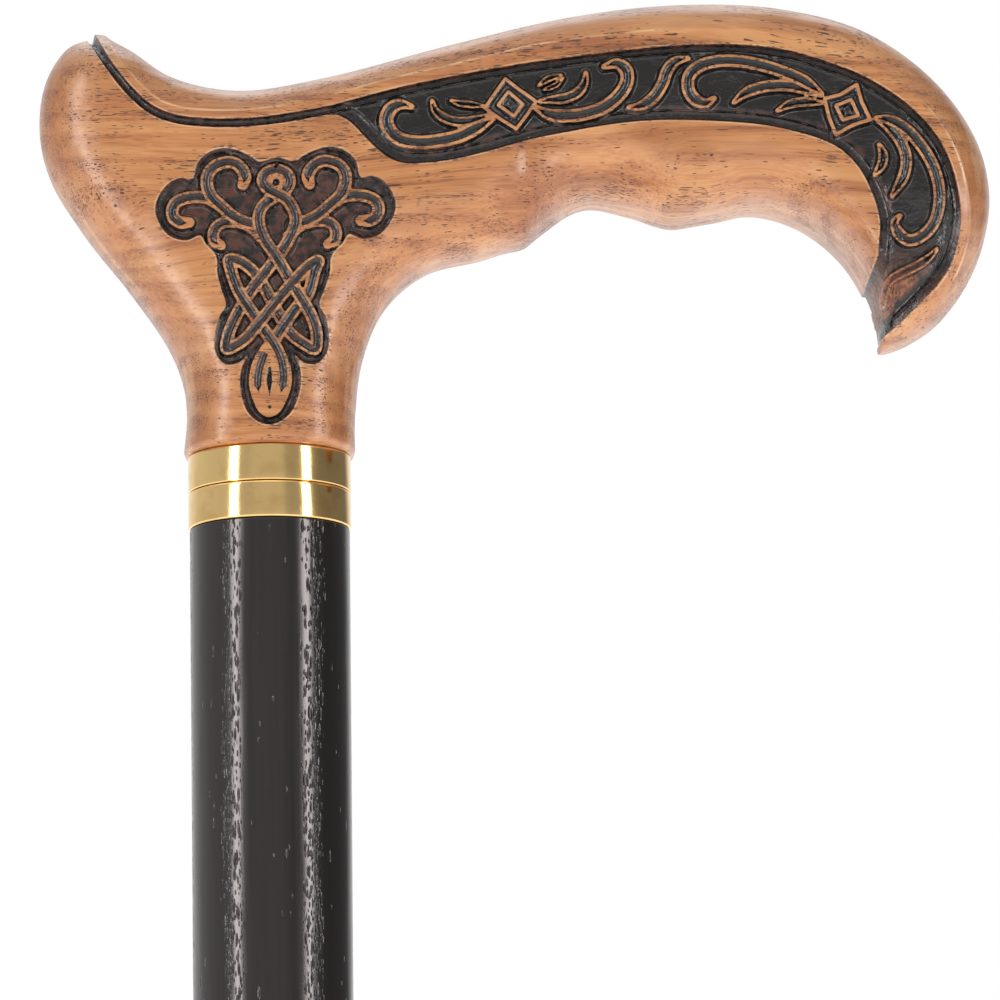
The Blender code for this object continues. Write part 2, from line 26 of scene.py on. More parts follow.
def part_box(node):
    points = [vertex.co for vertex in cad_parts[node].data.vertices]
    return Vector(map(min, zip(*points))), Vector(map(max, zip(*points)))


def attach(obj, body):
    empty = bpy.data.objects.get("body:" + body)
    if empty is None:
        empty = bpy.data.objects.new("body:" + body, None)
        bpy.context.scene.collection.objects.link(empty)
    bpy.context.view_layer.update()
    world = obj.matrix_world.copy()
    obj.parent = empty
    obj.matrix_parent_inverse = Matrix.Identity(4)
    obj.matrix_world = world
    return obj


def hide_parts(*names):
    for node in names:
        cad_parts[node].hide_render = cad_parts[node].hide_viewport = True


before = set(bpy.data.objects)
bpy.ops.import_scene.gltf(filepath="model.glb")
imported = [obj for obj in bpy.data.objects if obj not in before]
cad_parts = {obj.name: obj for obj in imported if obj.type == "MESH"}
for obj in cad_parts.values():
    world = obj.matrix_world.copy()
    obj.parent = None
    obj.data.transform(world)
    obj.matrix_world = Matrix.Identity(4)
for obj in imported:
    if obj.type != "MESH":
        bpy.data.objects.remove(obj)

MM = 0.001
CANE_BODY = "cane"
TIP_BODY = "tip"
log = logging.getLogger("derby_cane")

Array = np.ndarray
Pair = tuple[float, float]
Route = tuple[Pair, ...]
Triple = tuple[float, float, float]
Colour = Triple


def spline(points: Route, step: float, closed: bool = False) -> Array:
    """A smooth curve through points.

    Args:
        points: the places that the curve passes.
        step: the distance between the curve's own points.
        closed: whether it runs on from the last place to the first.

    Returns:
        The curve's points, one a row.
    """
    places = np.array(points, float)
    if closed:
        knots = np.vstack([places[-1], places, places[:2]])
    else:
        knots = np.vstack([2 * places[0] - places[1], places, 2 * places[-1] - places[-2]])
    spans = np.sqrt(np.linalg.norm(np.diff(knots, axis=0), axis=1))
    times = np.concatenate([[0.0], np.cumsum(spans)])
    out = []
    for i in range(1, len(knots) - 2):
        count = max(1, round(float(np.linalg.norm(knots[i + 1] - knots[i])) / step))
        t = np.linspace(times[i], times[i + 1], count, endpoint=False)[:, None]
        a1 = blend(knots[i - 1], knots[i], times[i - 1], times[i], t)
        a2 = blend(knots[i], knots[i + 1], times[i], times[i + 1], t)
        a3 = blend(knots[i + 1], knots[i + 2], times[i + 1], times[i + 2], t)
        b1 = blend(a1, a2, times[i - 1], times[i + 1], t)
        b2 = blend(a2, a3, times[i], times[i + 2], t)
        out.append(blend(b1, b2, times[i], times[i + 1], t))
    return np.vstack(out if closed else [*out, places[-1:]])


def blend(low: Array, high: Array, start: float, end: float, t: Array) -> Array:
    """Linear blend from low at start to high at end."""
    share = (t - start) / (end - start)
    return low * (1 - share) + high * share


def straight(points: Route, step: float) -> Array:
    """Corners joined by straight runs.

    Args:
        points: the corners.
        step: the distance between the points on a run.

    Returns:
        The points, one a row.
    """
    corners = np.array(points, float)
    out = []
    for first, second in zip(corners[:-1], corners[1:]):
        count = max(1, round(float(np.linalg.norm(second - first)) / step))
        out.append(first + (second - first) * np.linspace(0, 1, count, endpoint=False)[:, None])
    return np.vstack([*out, corners[-1:]])


def reach_along(curve: Array) -> Array:
    """How far along a curve each of its points lies."""
    return np.concatenate([[0.0], np.cumsum(np.linalg.norm(np.diff(curve, axis=0), axis=1))])


def distance_to(place: Pair, points: Array) -> Array:
    """The distance of each point from one place."""
    return np.linalg.norm(points - np.array(place), axis=1)


def nearest_on(curve: Array, points: Array) -> tuple[Array, Array]:
    """Finds the nearest place on an open curve for each point.

    Args:
        curve: the curve's points.
        points: the points to measure from.

    Returns:
        The distance to the curve, and how far along the curve the nearest place lies.
    """
    start_x, start_z = curve[:-1].T
    run_x, run_z = np.diff(curve, axis=0).T
    squared = run_x * run_x + run_z * run_z
    length = np.sqrt(squared)
    reach = np.concatenate([[0.0], np.cumsum(length)])
    gap = np.empty(len(points))
    along = np.empty(len(points))
    batch = 1024
    for low in range(0, len(points), batch):
        part = points[low : low + batch]
        off_x, off_z = part[:, :1] - start_x, part[:, 1:] - start_z
        share = np.clip((off_x * run_x + off_z * run_z) / squared, 0.0, 1.0)
        off_x -= share * run_x
        off_z -= share * run_z
        miss = off_x * off_x + off_z * off_z
        best = miss.argmin(axis=1)
        rows = np.arange(len(part))
        gap[low : low + batch] = np.sqrt(miss[rows, best])
        along[low : low + batch] = reach[best] + share[rows, best] * length[best]
    return gap, along


def inside(polygon: Array, points: Array) -> Array:
    """Which points lie inside a closed polygon.

    Args:
        polygon: its corners.
        points: the points to test.

    Returns:
        True for each point inside.
    """
    found = np.zeros(len(points), bool)
    ax, az = polygon.T
    bx, bz = np.roll(polygon, -1, axis=0).T
    rise = np.where(bz == az, 1.0, bz - az)
    batch = 4096
    for low in range(0, len(points), batch):
        x, z = points[low : low + batch, :1], points[low : low + batch, 1:]
        spans = (az > z) != (bz > z)
        crossing = ax + (z - az) * (bx - ax) / rise
        found[low : low + batch] = (spans & (x < crossing)).sum(axis=1) % 2 == 1
    return found


def depth_inside(polygon: Array, points: Array) -> Array:
    """The distance from a closed polygon's edge, above zero inside it and below zero outside."""
    gap = nearest_on(np.vstack([polygon, polygon[:1]]), points)[0]
    return np.where(inside(polygon, points), gap, -gap)


def moved_aside(curve: Array, distance: Array | float) -> Array:
    """A curve moved to its left.

    Args:
        curve: the curve's points.
        distance: how far, for each of its points or for all.

    Returns:
        The moved points.
    """
    ahead = np.gradient(curve, axis=0)
    ahead /= np.linalg.norm(ahead, axis=1)[:, None]
    return curve + np.column_stack([-ahead[:, 1], ahead[:, 0]]) * np.reshape(distance, (-1, 1))


def eased(value: Array, low: float, high: float) -> Array:
    """0 up to low, 1 past high, and a smooth rise between them."""
    share = np.clip((value - low) / (high - low), 0.0, 1.0)
    return share * share * (3 - 2 * share)


def bell(value: Array, centre: float, width: float | Array) -> Array:
    """A smooth hump of height 1 round a centre."""
    return np.exp(-(((value - centre) / width) ** 2))


def lattice(low: Array, high: Array, step: float) -> Array:
    """Rows of points in staggered order that fill a rectangle.

    Args:
        low: its lower left corner.
        high: its upper right corner.
        step: the distance between neighbours.

    Returns:
        The points, one a row.
    """
    rise = step * math.sqrt(3) / 2
    rows = []
    for number, height in enumerate(np.arange(low[1], high[1], rise)):
        across = np.arange(low[0] + (number % 2) * step / 2, high[0], step)
        rows.append(np.column_stack([across, np.full(len(across), height)]))
    return np.vstack(rows)


def thinned(points: Array, gap: float) -> Array:
    """Leaves out the points that are closer than the gap to an earlier one.

    Args:
        points: the points, the ones that matter most first.
        gap: the least distance between two that stay.

    Returns:
        The points that stay.
    """
    kept = []
    cells: dict[tuple[int, int], list[Array]] = {}
    for point in points:
        column, row = int(point[0] // gap), int(point[1] // gap)
        around = [cells.get((column + i, row + j), []) for i in (-1, 0, 1) for j in (-1, 0, 1)]
        if all(math.dist(other, point) >= gap for group in around for other in group):
            cells.setdefault((column, row), []).append(point)
            kept.append(point)
    return np.array(kept)


def clear_of(points: Array, others: Array, gap: float) -> Array:
    """Leaves out the points that come too close to others.

    Args:
        points: the points to choose from.
        others: the points to keep clear of.
        gap: the least distance from them.

    Returns:
        The points that stay.
    """
    tree = KDTree(len(others))
    for number, (x, z) in enumerate(others):
        tree.insert((x, z, 0.0), number)
    tree.balance()
    far = [tree.find((x, z, 0.0))[2] >= gap for x, z in points]
    return points[np.array(far, bool)]


class End(Enum):
    """How a strand of the carving ends."""

    JOINED = "joined"
    ROUND = "round"
    POINTED = "pointed"


@dataclass(frozen=True)
class Strand:
    """A raised band of the carving, with tan rims and a painted groove along its middle.

    Attributes:
        route: the places that its middle passes.
        half_width: half its width where it is widest.
        start: how it begins.
        finish: how it ends.
        sunk: how far its rims lie under the handle's surface.
        groove_share: the groove's width as a share of the strand's.
        dives: the places where it passes under another strand.
        cornered: whether its route has sharp corners.
    """

    route: Route
    half_width: float
    start: End = End.POINTED
    finish: End = End.POINTED
    sunk: float = 0.12
    groove_share: float = 0.57
    dives: Route = ()
    cornered: bool = False

    def curve(self) -> Array:
        """The points of the strand's middle."""
        return straight(self.route, ROW_STEP) if self.cornered else spline(self.route, ROW_STEP)

    def widths(self, along: Array, length: float) -> tuple[Array, Array]:
        """Half widths along the strand.

        Args:
            along: distances from the strand's start.
            length: the strand's whole length.

        Returns:
            The strand's half width and its groove's half width at each distance.
        """
        width = np.full(len(along), self.half_width)
        groove = np.full(len(along), self.half_width * self.groove_share)
        for end, left in ((self.start, along), (self.finish, length - along)):
            if end is End.JOINED:
                continue
            taper = min(3.2, 0.42 * length) if end is End.POINTED else 1.0
            least = 0.30 if end is End.POINTED else 0.8
            width *= least + (1 - least) * eased(left, -0.4 * taper, taper)
            groove *= eased(left, 0.2, 1.3) * (least + (1 - least) * eased(left, -0.2 * taper, taper))
        return width, groove

    def past_joint(self, along: Array, length: float) -> Array:
        """Which of the nearest places are an end that another strand carries on.

        Args:
            along: distances from the strand's start.
            length: the strand's whole length.

        Returns:
            True for each place at such an end.
        """
        if self.cornered:
            return np.zeros(len(along), bool)
        before = (along < 1e-6) & (self.start is End.JOINED)
        return before | ((along > length - 1e-6) & (self.finish is End.JOINED))

    def dip(self, points: Array) -> Array:
        """How much deeper the strand lies where it passes under another.

        Args:
            points: places in the handle's plane.

        Returns:
            The extra depth at each.
        """
        lowered = np.zeros(len(points))
        for place in self.dives:
            gap = distance_to(place, points)
            lowered = np.maximum(lowered, DIVE_DEPTH * (1 - eased(gap, 0.9, 1.9)))
        return lowered


# The spacing of points along every drawn line, and the handle's carving depths and slopes.
ROW_STEP = 0.24
DIVE_DEPTH = 0.16
WALL_SLOPE = 3.0
GROOVE_DEPTH = 0.32
SHOULDER_DROP = 0.05
# The band round the paint's edge over which its field runs from 0 to 1.
PAINT_SPREAD = 0.5
# The distance outside a strand at which the thin lip in the paint stands, and where the field ends.
LIP_REACH = 0.43
SHORE_END = 1.5
# What forms the surface where no strand does.
FLOOR = -1
PLAIN = -2


@dataclass
class Cut:
    """What the carving does at each point of the handle's plan.

    Attributes:
        depth: how far the surface is cut back.
        paint: above 0.5 where the wood is painted black, with the distance to the paint's edge in it.
        stain: how much red-brown stain shows through.
        owner: the number of the strand that forms the surface, or FLOOR, or PLAIN outside the carving.
        shore: the distance from the nearest strand, or LIP_REACH on a channel's lip.
        aside: the distance outside the carving.
        crease: the distance from the arris above the black edge.
        flush: how much the wood turns red-brown, in part as painted shade on a swelling's flank.
    """

    depth: Array
    paint: Array
    stain: Array
    owner: Array
    shore: Array
    aside: Array
    crease: Array
    flush: Array


@dataclass(frozen=True)
class Knot:
    """The interlaced knot on the neck: two long woven strands, curls at each side and a teardrop."""

    axis_foot: Pair = (0.2, 4.8)
    axis_lean: float = 0.0357
    half_width: float = 0.82
    ring_centre: Pair = (1.3, 35.6)
    ring_plate: float = 1.05
    ring_hole: float = 0.5
    ring_depth: float = 0.5
    dot_centre: Pair = (0.2, 4.7)
    dot_radius: float = 0.26
    dot_depth: float = 0.35
    slit: Route = ((0.25, 10.8), (0.2, 8.5), (0.2, 6.2))
    slit_half_width: float = 0.36
    slit_length: float = 4.6
    slit_depth: float = 0.45
    pocket_depth: float = 0.62
    pocket_wall: Pair = (-0.08, 0.55)
    pocket_dip: float = 0.2
    pocket_middle: Pair = (1.0, 1.8)
    pocket_stain: Pair = (0.3, 0.4)
    strand_stain: float = 0.3
    long_share: float = 0.60
    curl_share: float = 0.59
    curl_widths: tuple[float, ...] = (0.84, 0.84, 0.79)
    long_left: Route = (
        (1.7, 6.4), (2.1, 9.0), (1.5, 12.0), (-0.1, 14.7), (-2.0, 17.6), (-3.9, 20.7), (-4.9, 23.7),
        (-5.1, 25.0), (-3.8, 24.8), (-1.5, 22.9), (1.4, 17.6), (3.0, 14.8), (4.9, 13.3), (6.3, 12.7),
        (6.6, 14.5), (6.0, 16.9), (4.0, 20.5), (1.5, 24.9), (-0.6, 28.3), (-1.1, 30.8), (-0.5, 32.4),
        (1.6, 34.0), (2.7, 34.7), (3.1, 35.8), (2.6, 36.9), (1.3, 37.4),
    )
    long_left_dives: Route = (
        (1.3, 33.9), (2.9, 22.6), (-1.0, 21.9), (0.6, 18.8), (2.2, 16.2), (-1.1, 16.3),
    )
    long_right: Route = (
        (-1.3, 6.5), (-1.3, 9.0), (-0.4, 12.0), (0.9, 13.9), (3.8, 18.2), (5.4, 20.1), (6.4, 23.4),
        (6.9, 24.7), (5.8, 24.2), (2.6, 20.8), (-0.1, 17.5), (-1.7, 15.5), (-3.3, 13.8), (-5.5, 12.8),
        (-5.4, 14.3), (-3.8, 18.0), (-2.5, 20.2), (0.3, 23.9), (2.7, 27.3), (3.9, 30.5), (2.8, 33.1),
        (1.6, 33.9), (0.3, 34.6), (-0.3, 35.3), (-0.5, 36.1), (0.1, 37.0), (1.3, 37.4),
    )
    long_right_dives: Route = ((1.5, 25.3), (-3.0, 19.1), (4.9, 19.1), (0.4, 13.4))
    upper_curl: Route = (
        (-3.2, 35.3), (-2.9, 36.4), (-3.4, 37.6), (-4.5, 38.4), (-5.8, 38.4), (-7.1, 37.8), (-7.9, 36.7),
        (-8.0, 35.2), (-7.4, 33.7), (-6.1, 32.4), (-4.7, 31.1), (-3.0, 30.2), (-1.3, 29.7),
    )
    outer_curl: Route = (
        (-10.4, 30.2), (-11.6, 30.2), (-12.5, 30.8), (-12.7, 31.9), (-12.2, 32.9), (-11.0, 33.5),
        (-9.4, 33.7), (-7.9, 33.5), (-6.4, 32.6),
    )
    lower_curl: Route = (
        (-6.2, 27.0), (-7.0, 27.5), (-7.2, 28.5), (-6.8, 29.5), (-5.9, 30.1), (-4.4, 30.2), (-3.0, 29.9),
        (-1.6, 29.0), (-0.5, 27.7),
    )
    border: Route = (
        (1.5, 39.0), (-1.0, 38.5), (-2.1, 39.2), (-3.7, 40.0), (-5.6, 40.4), (-7.8, 39.8), (-9.3, 38.3),
        (-10.0, 36.2), (-11.6, 36.3), (-13.0, 35.7), (-14.4, 34.0), (-15.0, 32.1), (-14.5, 30.2),
        (-13.1, 28.4), (-10.9, 27.7), (-8.9, 28.3), (-8.2, 27.2), (-7.0, 25.8), (-6.7, 24.8),
        (-6.7, 23.2), (-6.2, 21.0), (-5.6, 18.7), (-6.5, 17.1), (-7.1, 14.4), (-7.0, 12.4), (-5.7, 10.7),
        (-3.9, 10.8), (-2.8, 11.7), (-3.5, 10.1), (-3.75, 7.8), (-3.4, 5.6), (-2.6, 3.8), (-1.3, 2.7),
        (0.2, 2.3),
    )
    teardrop: Route = (
        (0.4, 14.1), (-1.2, 12.5), (-2.2, 10.4), (-2.55, 8.0), (-2.0, 5.6), (-1.1, 3.9), (0.1, 3.3),
    )

    def mirrored(self, route: Route) -> Route:
        """The route on the other side of the knot's leaning axis."""
        foot_x, foot_z = self.axis_foot
        return tuple((2 * (foot_x + self.axis_lean * (z - foot_z)) - x, z) for x, z in route)

    def loop(self, half: Route) -> Array:
        """The closed outline whose left half is given from top to bottom."""
        return spline((*half, *self.mirrored(half)[::-1][1:-1]), ROW_STEP, closed=True)

    def strands(self) -> list[Strand]:
        """Makes the knot's strands.

        Returns:
            The strands, the long woven ones first.
        """
        ends = (End.ROUND, End.JOINED)
        woven = ((self.long_left, self.long_left_dives), (self.long_right, self.long_right_dives))
        made = [Strand(route, self.half_width, *ends, 0.0, self.long_share, dives) for route, dives in woven]
        curls = (self.upper_curl, self.outer_curl, self.lower_curl)
        for number, (route, width) in enumerate(zip(curls, self.curl_widths)):
            for side in (route, self.mirrored(route)):
                made.append(Strand(side, width, *ends, 0.03 + 0.01 * number, self.curl_share))
        return made


@dataclass(frozen=True)
class Panel:
    """The sunk panel along the handle's side, with its scrolls and two diamonds.

    Attributes:
        upper_steps: the distances from the upper edge at which the floor's depth changes.
        lower_steps: the same from the lower edge.
        open_edge: where the panel runs out at the nose.
        scrolls: the half width and the route of each.
    """

    upper_edge: Route = (
        (8.6, 46.1), (19.5, 48.9), (38.0, 52.0), (58.7, 53.9), (69.2, 53.1), (75.3, 51.4), (81.5, 48.7),
        (87.4, 44.3), (91.1, 39.4), (93.1, 33.2), (93.4, 28.6), (92.2, 24.0), (90.4, 21.1), (88.7, 19.4),
        (86.7, 17.5), (84.6, 15.7), (83.2, 14.9), (82.0, 14.2),
    )
    lower_edge: Route = (
        (8.6, 44.95), (9.9, 44.65), (11.3, 43.8), (13.1, 41.9), (14.7, 40.2), (16.6, 38.7), (18.6, 38.0),
        (21.0, 38.0), (25.4, 38.5), (37.8, 41.4), (50.1, 43.3), (59.7, 43.2), (69.0, 42.1), (76.6, 39.5),
        (79.6, 36.6), (81.6, 32.5), (82.4, 29.0), (82.2, 26.4), (82.0, 24.4), (81.3, 22.8), (80.8, 21.0),
        (81.1, 18.0), (81.7, 15.2),
    )
    floor_depth: float = 0.72
    upper_steps: tuple[float, ...] = (0.0, 0.3, 0.75, 1.08, 1.45)
    upper_lip: float = 0.52
    lower_steps: tuple[float, ...] = (0.0, 0.4, 0.95, 1.45, 2.3)
    lower_lip: float = 0.42
    lower_channel: float = 0.1
    left_widening: float = 0.35
    left_end: Pair = (15.0, 24.0)
    nose_stain: Pair = (20.5, 27.5)
    ridge_stain: float = 0.55
    open_edge: Route = ((80.4, 24.2), (81.6, 22.0), (82.5, 18.6), (82.9, 13.6))
    open_depth: float = 0.30
    diamonds: tuple[Route, ...] = (
        (
            (32.3, 49.5), (34.1, 48.0), (36.4, 46.3), (35.2, 44.5), (33.7, 42.5), (31.6, 43.9),
            (29.5, 45.5), (30.8, 47.4),
        ),
        (
            (79.7, 48.0), (80.3, 45.6), (81.4, 43.1), (79.1, 42.4), (76.7, 41.1), (75.8, 43.6),
            (75.3, 46.1), (77.4, 46.6),
        ),
    )
    inner_diamonds: tuple[Route, ...] = (
        ((32.7, 47.7), (34.6, 45.95), (33.4, 44.3), (31.3, 45.9)),
        ((76.8, 45.1), (78.9, 45.9), (79.8, 43.7), (77.7, 43.1)),
    )
    diamond_dots: Route = ((32.95, 46.0), (78.3, 44.45))
    diamond_depth: float = 0.42
    diamond_line_widths: tuple[float, ...] = (0.21, 0.23, 0.2, 0.22)
    scrolls: tuple[tuple[float, Route], ...] = (
        (0.95, (
            (19.6, 45.9), (18.1, 46.2), (16.9, 45.7), (16.2, 44.2), (16.6, 42.7), (18.0, 41.4),
            (20.5, 40.9), (23.2, 41.1), (26.0, 41.7), (28.5, 42.9), (30.5, 44.0),
        )),
        (0.66, ((22.4, 46.7), (22.8, 45.3), (24.0, 44.3), (25.8, 43.7), (27.9, 43.9), (29.9, 44.5))),
        (0.48, ((24.9, 46.7), (25.9, 46.3), (27.3, 46.1), (29.3, 45.8))),
        (0.44, ((36.8, 48.5), (38.1, 49.4), (39.9, 49.9))),
        (0.36, ((37.5, 47.9), (39.1, 48.5), (40.1, 49.5))),
        (0.70, ((43.2, 50.2), (43.0, 48.8), (42.1, 47.5), (40.5, 46.7), (38.6, 46.5), (36.9, 46.3))),
        (0.92, (
            (36.4, 45.4), (38.0, 44.5), (40.3, 44.2), (43.1, 44.5), (45.6, 45.4), (47.6, 47.0),
            (48.7, 48.9), (48.6, 50.5), (47.4, 51.4), (45.7, 51.0),
        )),
        (0.80, (
            (48.9, 45.3), (50.5, 45.5), (52.2, 46.6), (53.5, 48.5), (54.2, 50.4), (55.3, 51.6),
            (57.0, 52.0),
        )),
        (0.86, (
            (60.4, 46.4), (59.3, 45.7), (57.9, 46.2), (57.0, 47.6), (57.1, 49.5), (58.4, 50.8),
            (60.8, 51.5), (63.6, 51.5), (66.7, 50.9), (69.7, 49.9), (72.5, 48.6), (74.9, 46.8),
        )),
        (0.78, ((63.1, 45.8), (64.6, 47.0), (66.9, 47.8), (69.7, 48.0), (72.2, 47.6), (74.9, 46.6))),
        (0.66, ((68.9, 44.5), (70.6, 45.4), (72.4, 45.7), (75.1, 45.5))),
        (0.80, (
            (82.1, 43.3), (84.1, 43.0), (86.3, 41.6), (88.2, 39.3), (89.6, 36.8), (90.4, 34.0),
            (90.4, 31.2), (89.6, 28.7), (88.0, 27.1), (86.3, 26.6), (84.9, 27.6), (84.4, 29.1),
            (85.1, 29.9),
        )),
        (0.76, ((82.3, 43.1), (84.0, 41.9), (85.4, 40.0), (86.1, 37.8), (85.7, 35.3), (84.1, 32.6))),
        (0.66, ((82.5, 39.7), (83.0, 38.3), (82.8, 36.9), (81.8, 35.5))),
        (0.62, (
            (90.2, 25.4), (88.7, 24.0), (86.8, 22.9), (84.9, 22.0), (83.4, 21.1), (82.9, 20.0),
            (82.9, 18.6),
        )),
    )

    def strands(self) -> list[Strand]:
        """Makes the panel's strands.

        Returns:
            The diamonds' lines first, because they lie over the scrolls, and then the scrolls.
        """
        made = []
        for corners, half_width in zip(self.diamonds + self.inner_diamonds, self.diamond_line_widths):
            route = (*corners, corners[0])
            made.append(Strand(route, half_width, End.JOINED, End.JOINED, 0.08, 0.0, cornered=True))
        for number, (half_width, route) in enumerate(self.scrolls):
            made.append(Strand(route, half_width, sunk=0.14 + 0.004 * number))
        return made


@dataclass(frozen=True)
class KnobLine:
    """The carved black line from the panel round the knob."""

    route: Route = (
        (-24.3, 59.4), (-23.6, 57.4), (-22.6, 54.9), (-21.2, 52.3), (-18.5, 48.6), (-15.4, 45.8),
        (-12.2, 44.5), (-9.0, 44.05), (-3.9, 43.9), (1.2, 44.3), (6.3, 45.1), (9.2, 45.65), (13.0, 46.5),
    )
    half_width: float = 0.62
    depth: float = 0.62
    step_reach: float = 4.5
    step_up: float = 0.30
    step_down: float = 0.36


@dataclass(frozen=True)
class Arris:
    """The soft edge under the handle's rounded top, and the swellings between the fingers.

    Attributes:
        offsets: (share of its length, distance above the black edge) where its distance changes.
        height: how far it stands out.
        width: how wide its hump is.
        fade: the heights above the seat between which it dies away at the nose.
        swellings: the ends, the widths to the left and to the right, and the height of each swelling.
        red_brown_and_shade: the ends, the width and the strength of each red-brown patch; the first is
            painted shade on the right flank of the first swelling.
    """

    offsets: Route = (
        (0.0, 1.05), (0.22, 1.1), (0.27, 1.35), (0.36, 1.45), (0.44, 2.3), (0.62, 2.4), (0.80, 1.25),
        (1.0, 0.95),
    )
    height: float = 0.17
    width: float = 0.42
    fade: Pair = (17.0, 23.0)
    swellings: tuple[tuple[Pair, Pair, float, float, float], ...] = (
        ((35.6, 37.0), (34.2, 29.5), 1.8, 5.5, 1.6),
        ((57.0, 39.0), (62.5, 34.0), 2.8, 2.8, 0.5),
    )
    red_brown_and_shade: tuple[tuple[Pair, Pair, float, float], ...] = (
        # Painted shade: this first patch darkens the right flank of the first swelling.
        ((36.4, 35.6), (35.0, 31.0), 3.2, 1.0),
        ((55.5, 38.2), (60.5, 36.2), 2.2, 0.15),
        ((84.0, 20.5), (85.5, 22.0), 1.6, 1.0),
        ((-29.0, 47.0), (-25.5, 36.0), 3.0, 0.45),
        ((12.2, 22.0), (10.4, 8.0), 2.4, 0.6),
    )


class Carving:
    """All that is cut into one side of the handle."""

    def __init__(self) -> None:
        """Draws the outlines and the strands."""
        self.knot = Knot()
        self.panel = Panel()
        self.line = KnobLine()
        self.arris = Arris()
        self.border = self.knot.loop(self.knot.border)
        self.teardrop = self.knot.loop(self.knot.teardrop)
        self.upper = spline(self.panel.upper_edge, ROW_STEP)
        self.lower = spline(self.panel.lower_edge, ROW_STEP)
        self.panel_outline = np.vstack([self.upper, self.lower[::-1]])
        self.line_curve = spline(self.line.route, ROW_STEP)
        line_top = moved_aside(self.line_curve, self.line.half_width)
        black_edge = np.vstack([line_top[line_top[:, 0] < self.upper[0, 0] - ROW_STEP], self.upper])
        shares, offsets = zip(*self.arris.offsets)
        self.arris_curve = moved_aside(
            black_edge, np.interp(np.linspace(0, 1, len(black_edge)), shares, offsets)
        )
        knot_strands = self.knot.strands()
        self.strands = knot_strands + self.panel.strands()
        self.knot_strands = len(knot_strands)
        self.curves = [strand.curve() for strand in self.strands]

    def reach(self, points: Array) -> Array:
        """How far points lie outside the carving, and below zero how far inside."""
        line = self.line.half_width - nearest_on(self.line_curve, points)[0]
        areas = [depth_inside(edge, points) for edge in (self.border, self.panel_outline)]
        return -np.max([*areas, line], axis=0)

    def form(self, points: Array) -> Array:
        """How far the wood stands out from the plain blank: the arris, the knob's step, the swellings.

        Args:
            points: places in the handle's plane.

        Returns:
            The height at each.
        """
        arris, line = self.arris, self.line
        gap = nearest_on(self.arris_curve, points)[0]
        raised = arris.height * bell(gap, 0.0, arris.width) * eased(points[:, 1], *arris.fade)
        gap, along = nearest_on(self.line_curve, points)
        above = nearest_on(moved_aside(self.line_curve, 0.5), points)[0]
        reach = bell(along, 0.0, line.step_reach) * (1 - eased(gap, 0.8, line.step_reach))
        raised += np.where(above < gap, line.step_up, -line.step_down) * reach
        for first, second, left, right, height in arris.swellings:
            gap = nearest_on(np.array([first, second]), points)[0]
            run = np.subtract(second, first) / math.dist(first, second)
            offset = run[0] * (points[:, 1] - first[1]) - run[1] * (points[:, 0] - first[0])
            turn = np.clip(offset / np.maximum(gap, 1e-6), -1.0, 1.0)
            raised += height * bell(gap, 0.0, left + (right - left) * (0.5 + 0.5 * turn))
        return raised

    def red_brown_and_shade(self, points: Array) -> Array:
        """How much the wood turns red-brown, in part as painted shade.

        Args:
            points: places in the handle's plane.

        Returns:
            A share for each.
        """
        flush = np.zeros(len(points))
        for first, second, width, strength in self.arris.red_brown_and_shade:
            gap = nearest_on(np.array([first, second]), points)[0]
            flush = np.maximum(flush, strength * bell(gap, 0.0, width))
        return flush

    def floor(self, points: Array) -> Cut:
        """Cuts the ground of the carving, before the strands stand on it.

        Args:
            points: places in the handle's plane.

        Returns:
            The cut at each of them.
        """
        loop, shape, deep = self.knot, self.panel, self.panel.floor_depth
        knot = depth_inside(self.border, points)
        panel = depth_inside(self.panel_outline, points)
        line = nearest_on(self.line_curve, points)[0]
        upper = nearest_on(self.upper, points)[0]
        lower = nearest_on(self.lower, points)[0]
        lower /= 1 + shape.left_widening * (1 - eased(points[:, 0], *shape.left_end))

        knot_depth = loop.pocket_depth * eased(knot, *loop.pocket_wall)
        knot_depth += loop.pocket_dip * eased(knot, *loop.pocket_middle)
        near_upper = np.interp(upper, shape.upper_steps, (0.0, deep, deep, shape.upper_lip, deep))
        channel = deep + shape.lower_channel
        near_lower = np.interp(lower, shape.lower_steps, (0.0, channel, channel, shape.lower_lip, deep))
        open_gap = nearest_on(np.array(shape.open_edge), points)[0]
        panel_depth = np.minimum(np.minimum(near_upper, near_lower), shape.open_depth + 0.3 * open_gap)
        panel_depth[panel <= 0] = 0.0
        across = np.clip(line / self.line.half_width, 0.0, 1.0)
        line_depth = self.line.depth * (1 - across**2.5)
        depth = np.maximum(np.maximum(knot_depth, panel_depth), line_depth)

        edge = np.maximum(np.maximum(knot, panel - 0.02), self.line.half_width - 0.03 - line)
        ridge = shape.ridge_stain * bell(lower, 1.6, 0.5) * eased(points[:, 0], 15.0, 22.0) * (panel > 0.3)
        nose = (1 - eased(points[:, 1], *shape.nose_stain)) * eased(upper, 1.3, 2.2) * (panel > 0.0)
        pocket = loop.pocket_stain[0] * (knot > 0) + loop.pocket_stain[1] * eased(knot, 1.0, 1.6)
        verge = 0.5 * bell(edge, 0.1, 0.35)
        stain = np.clip(np.max([ridge, nose, pocket, verge], axis=0), 0.0, 1.0)

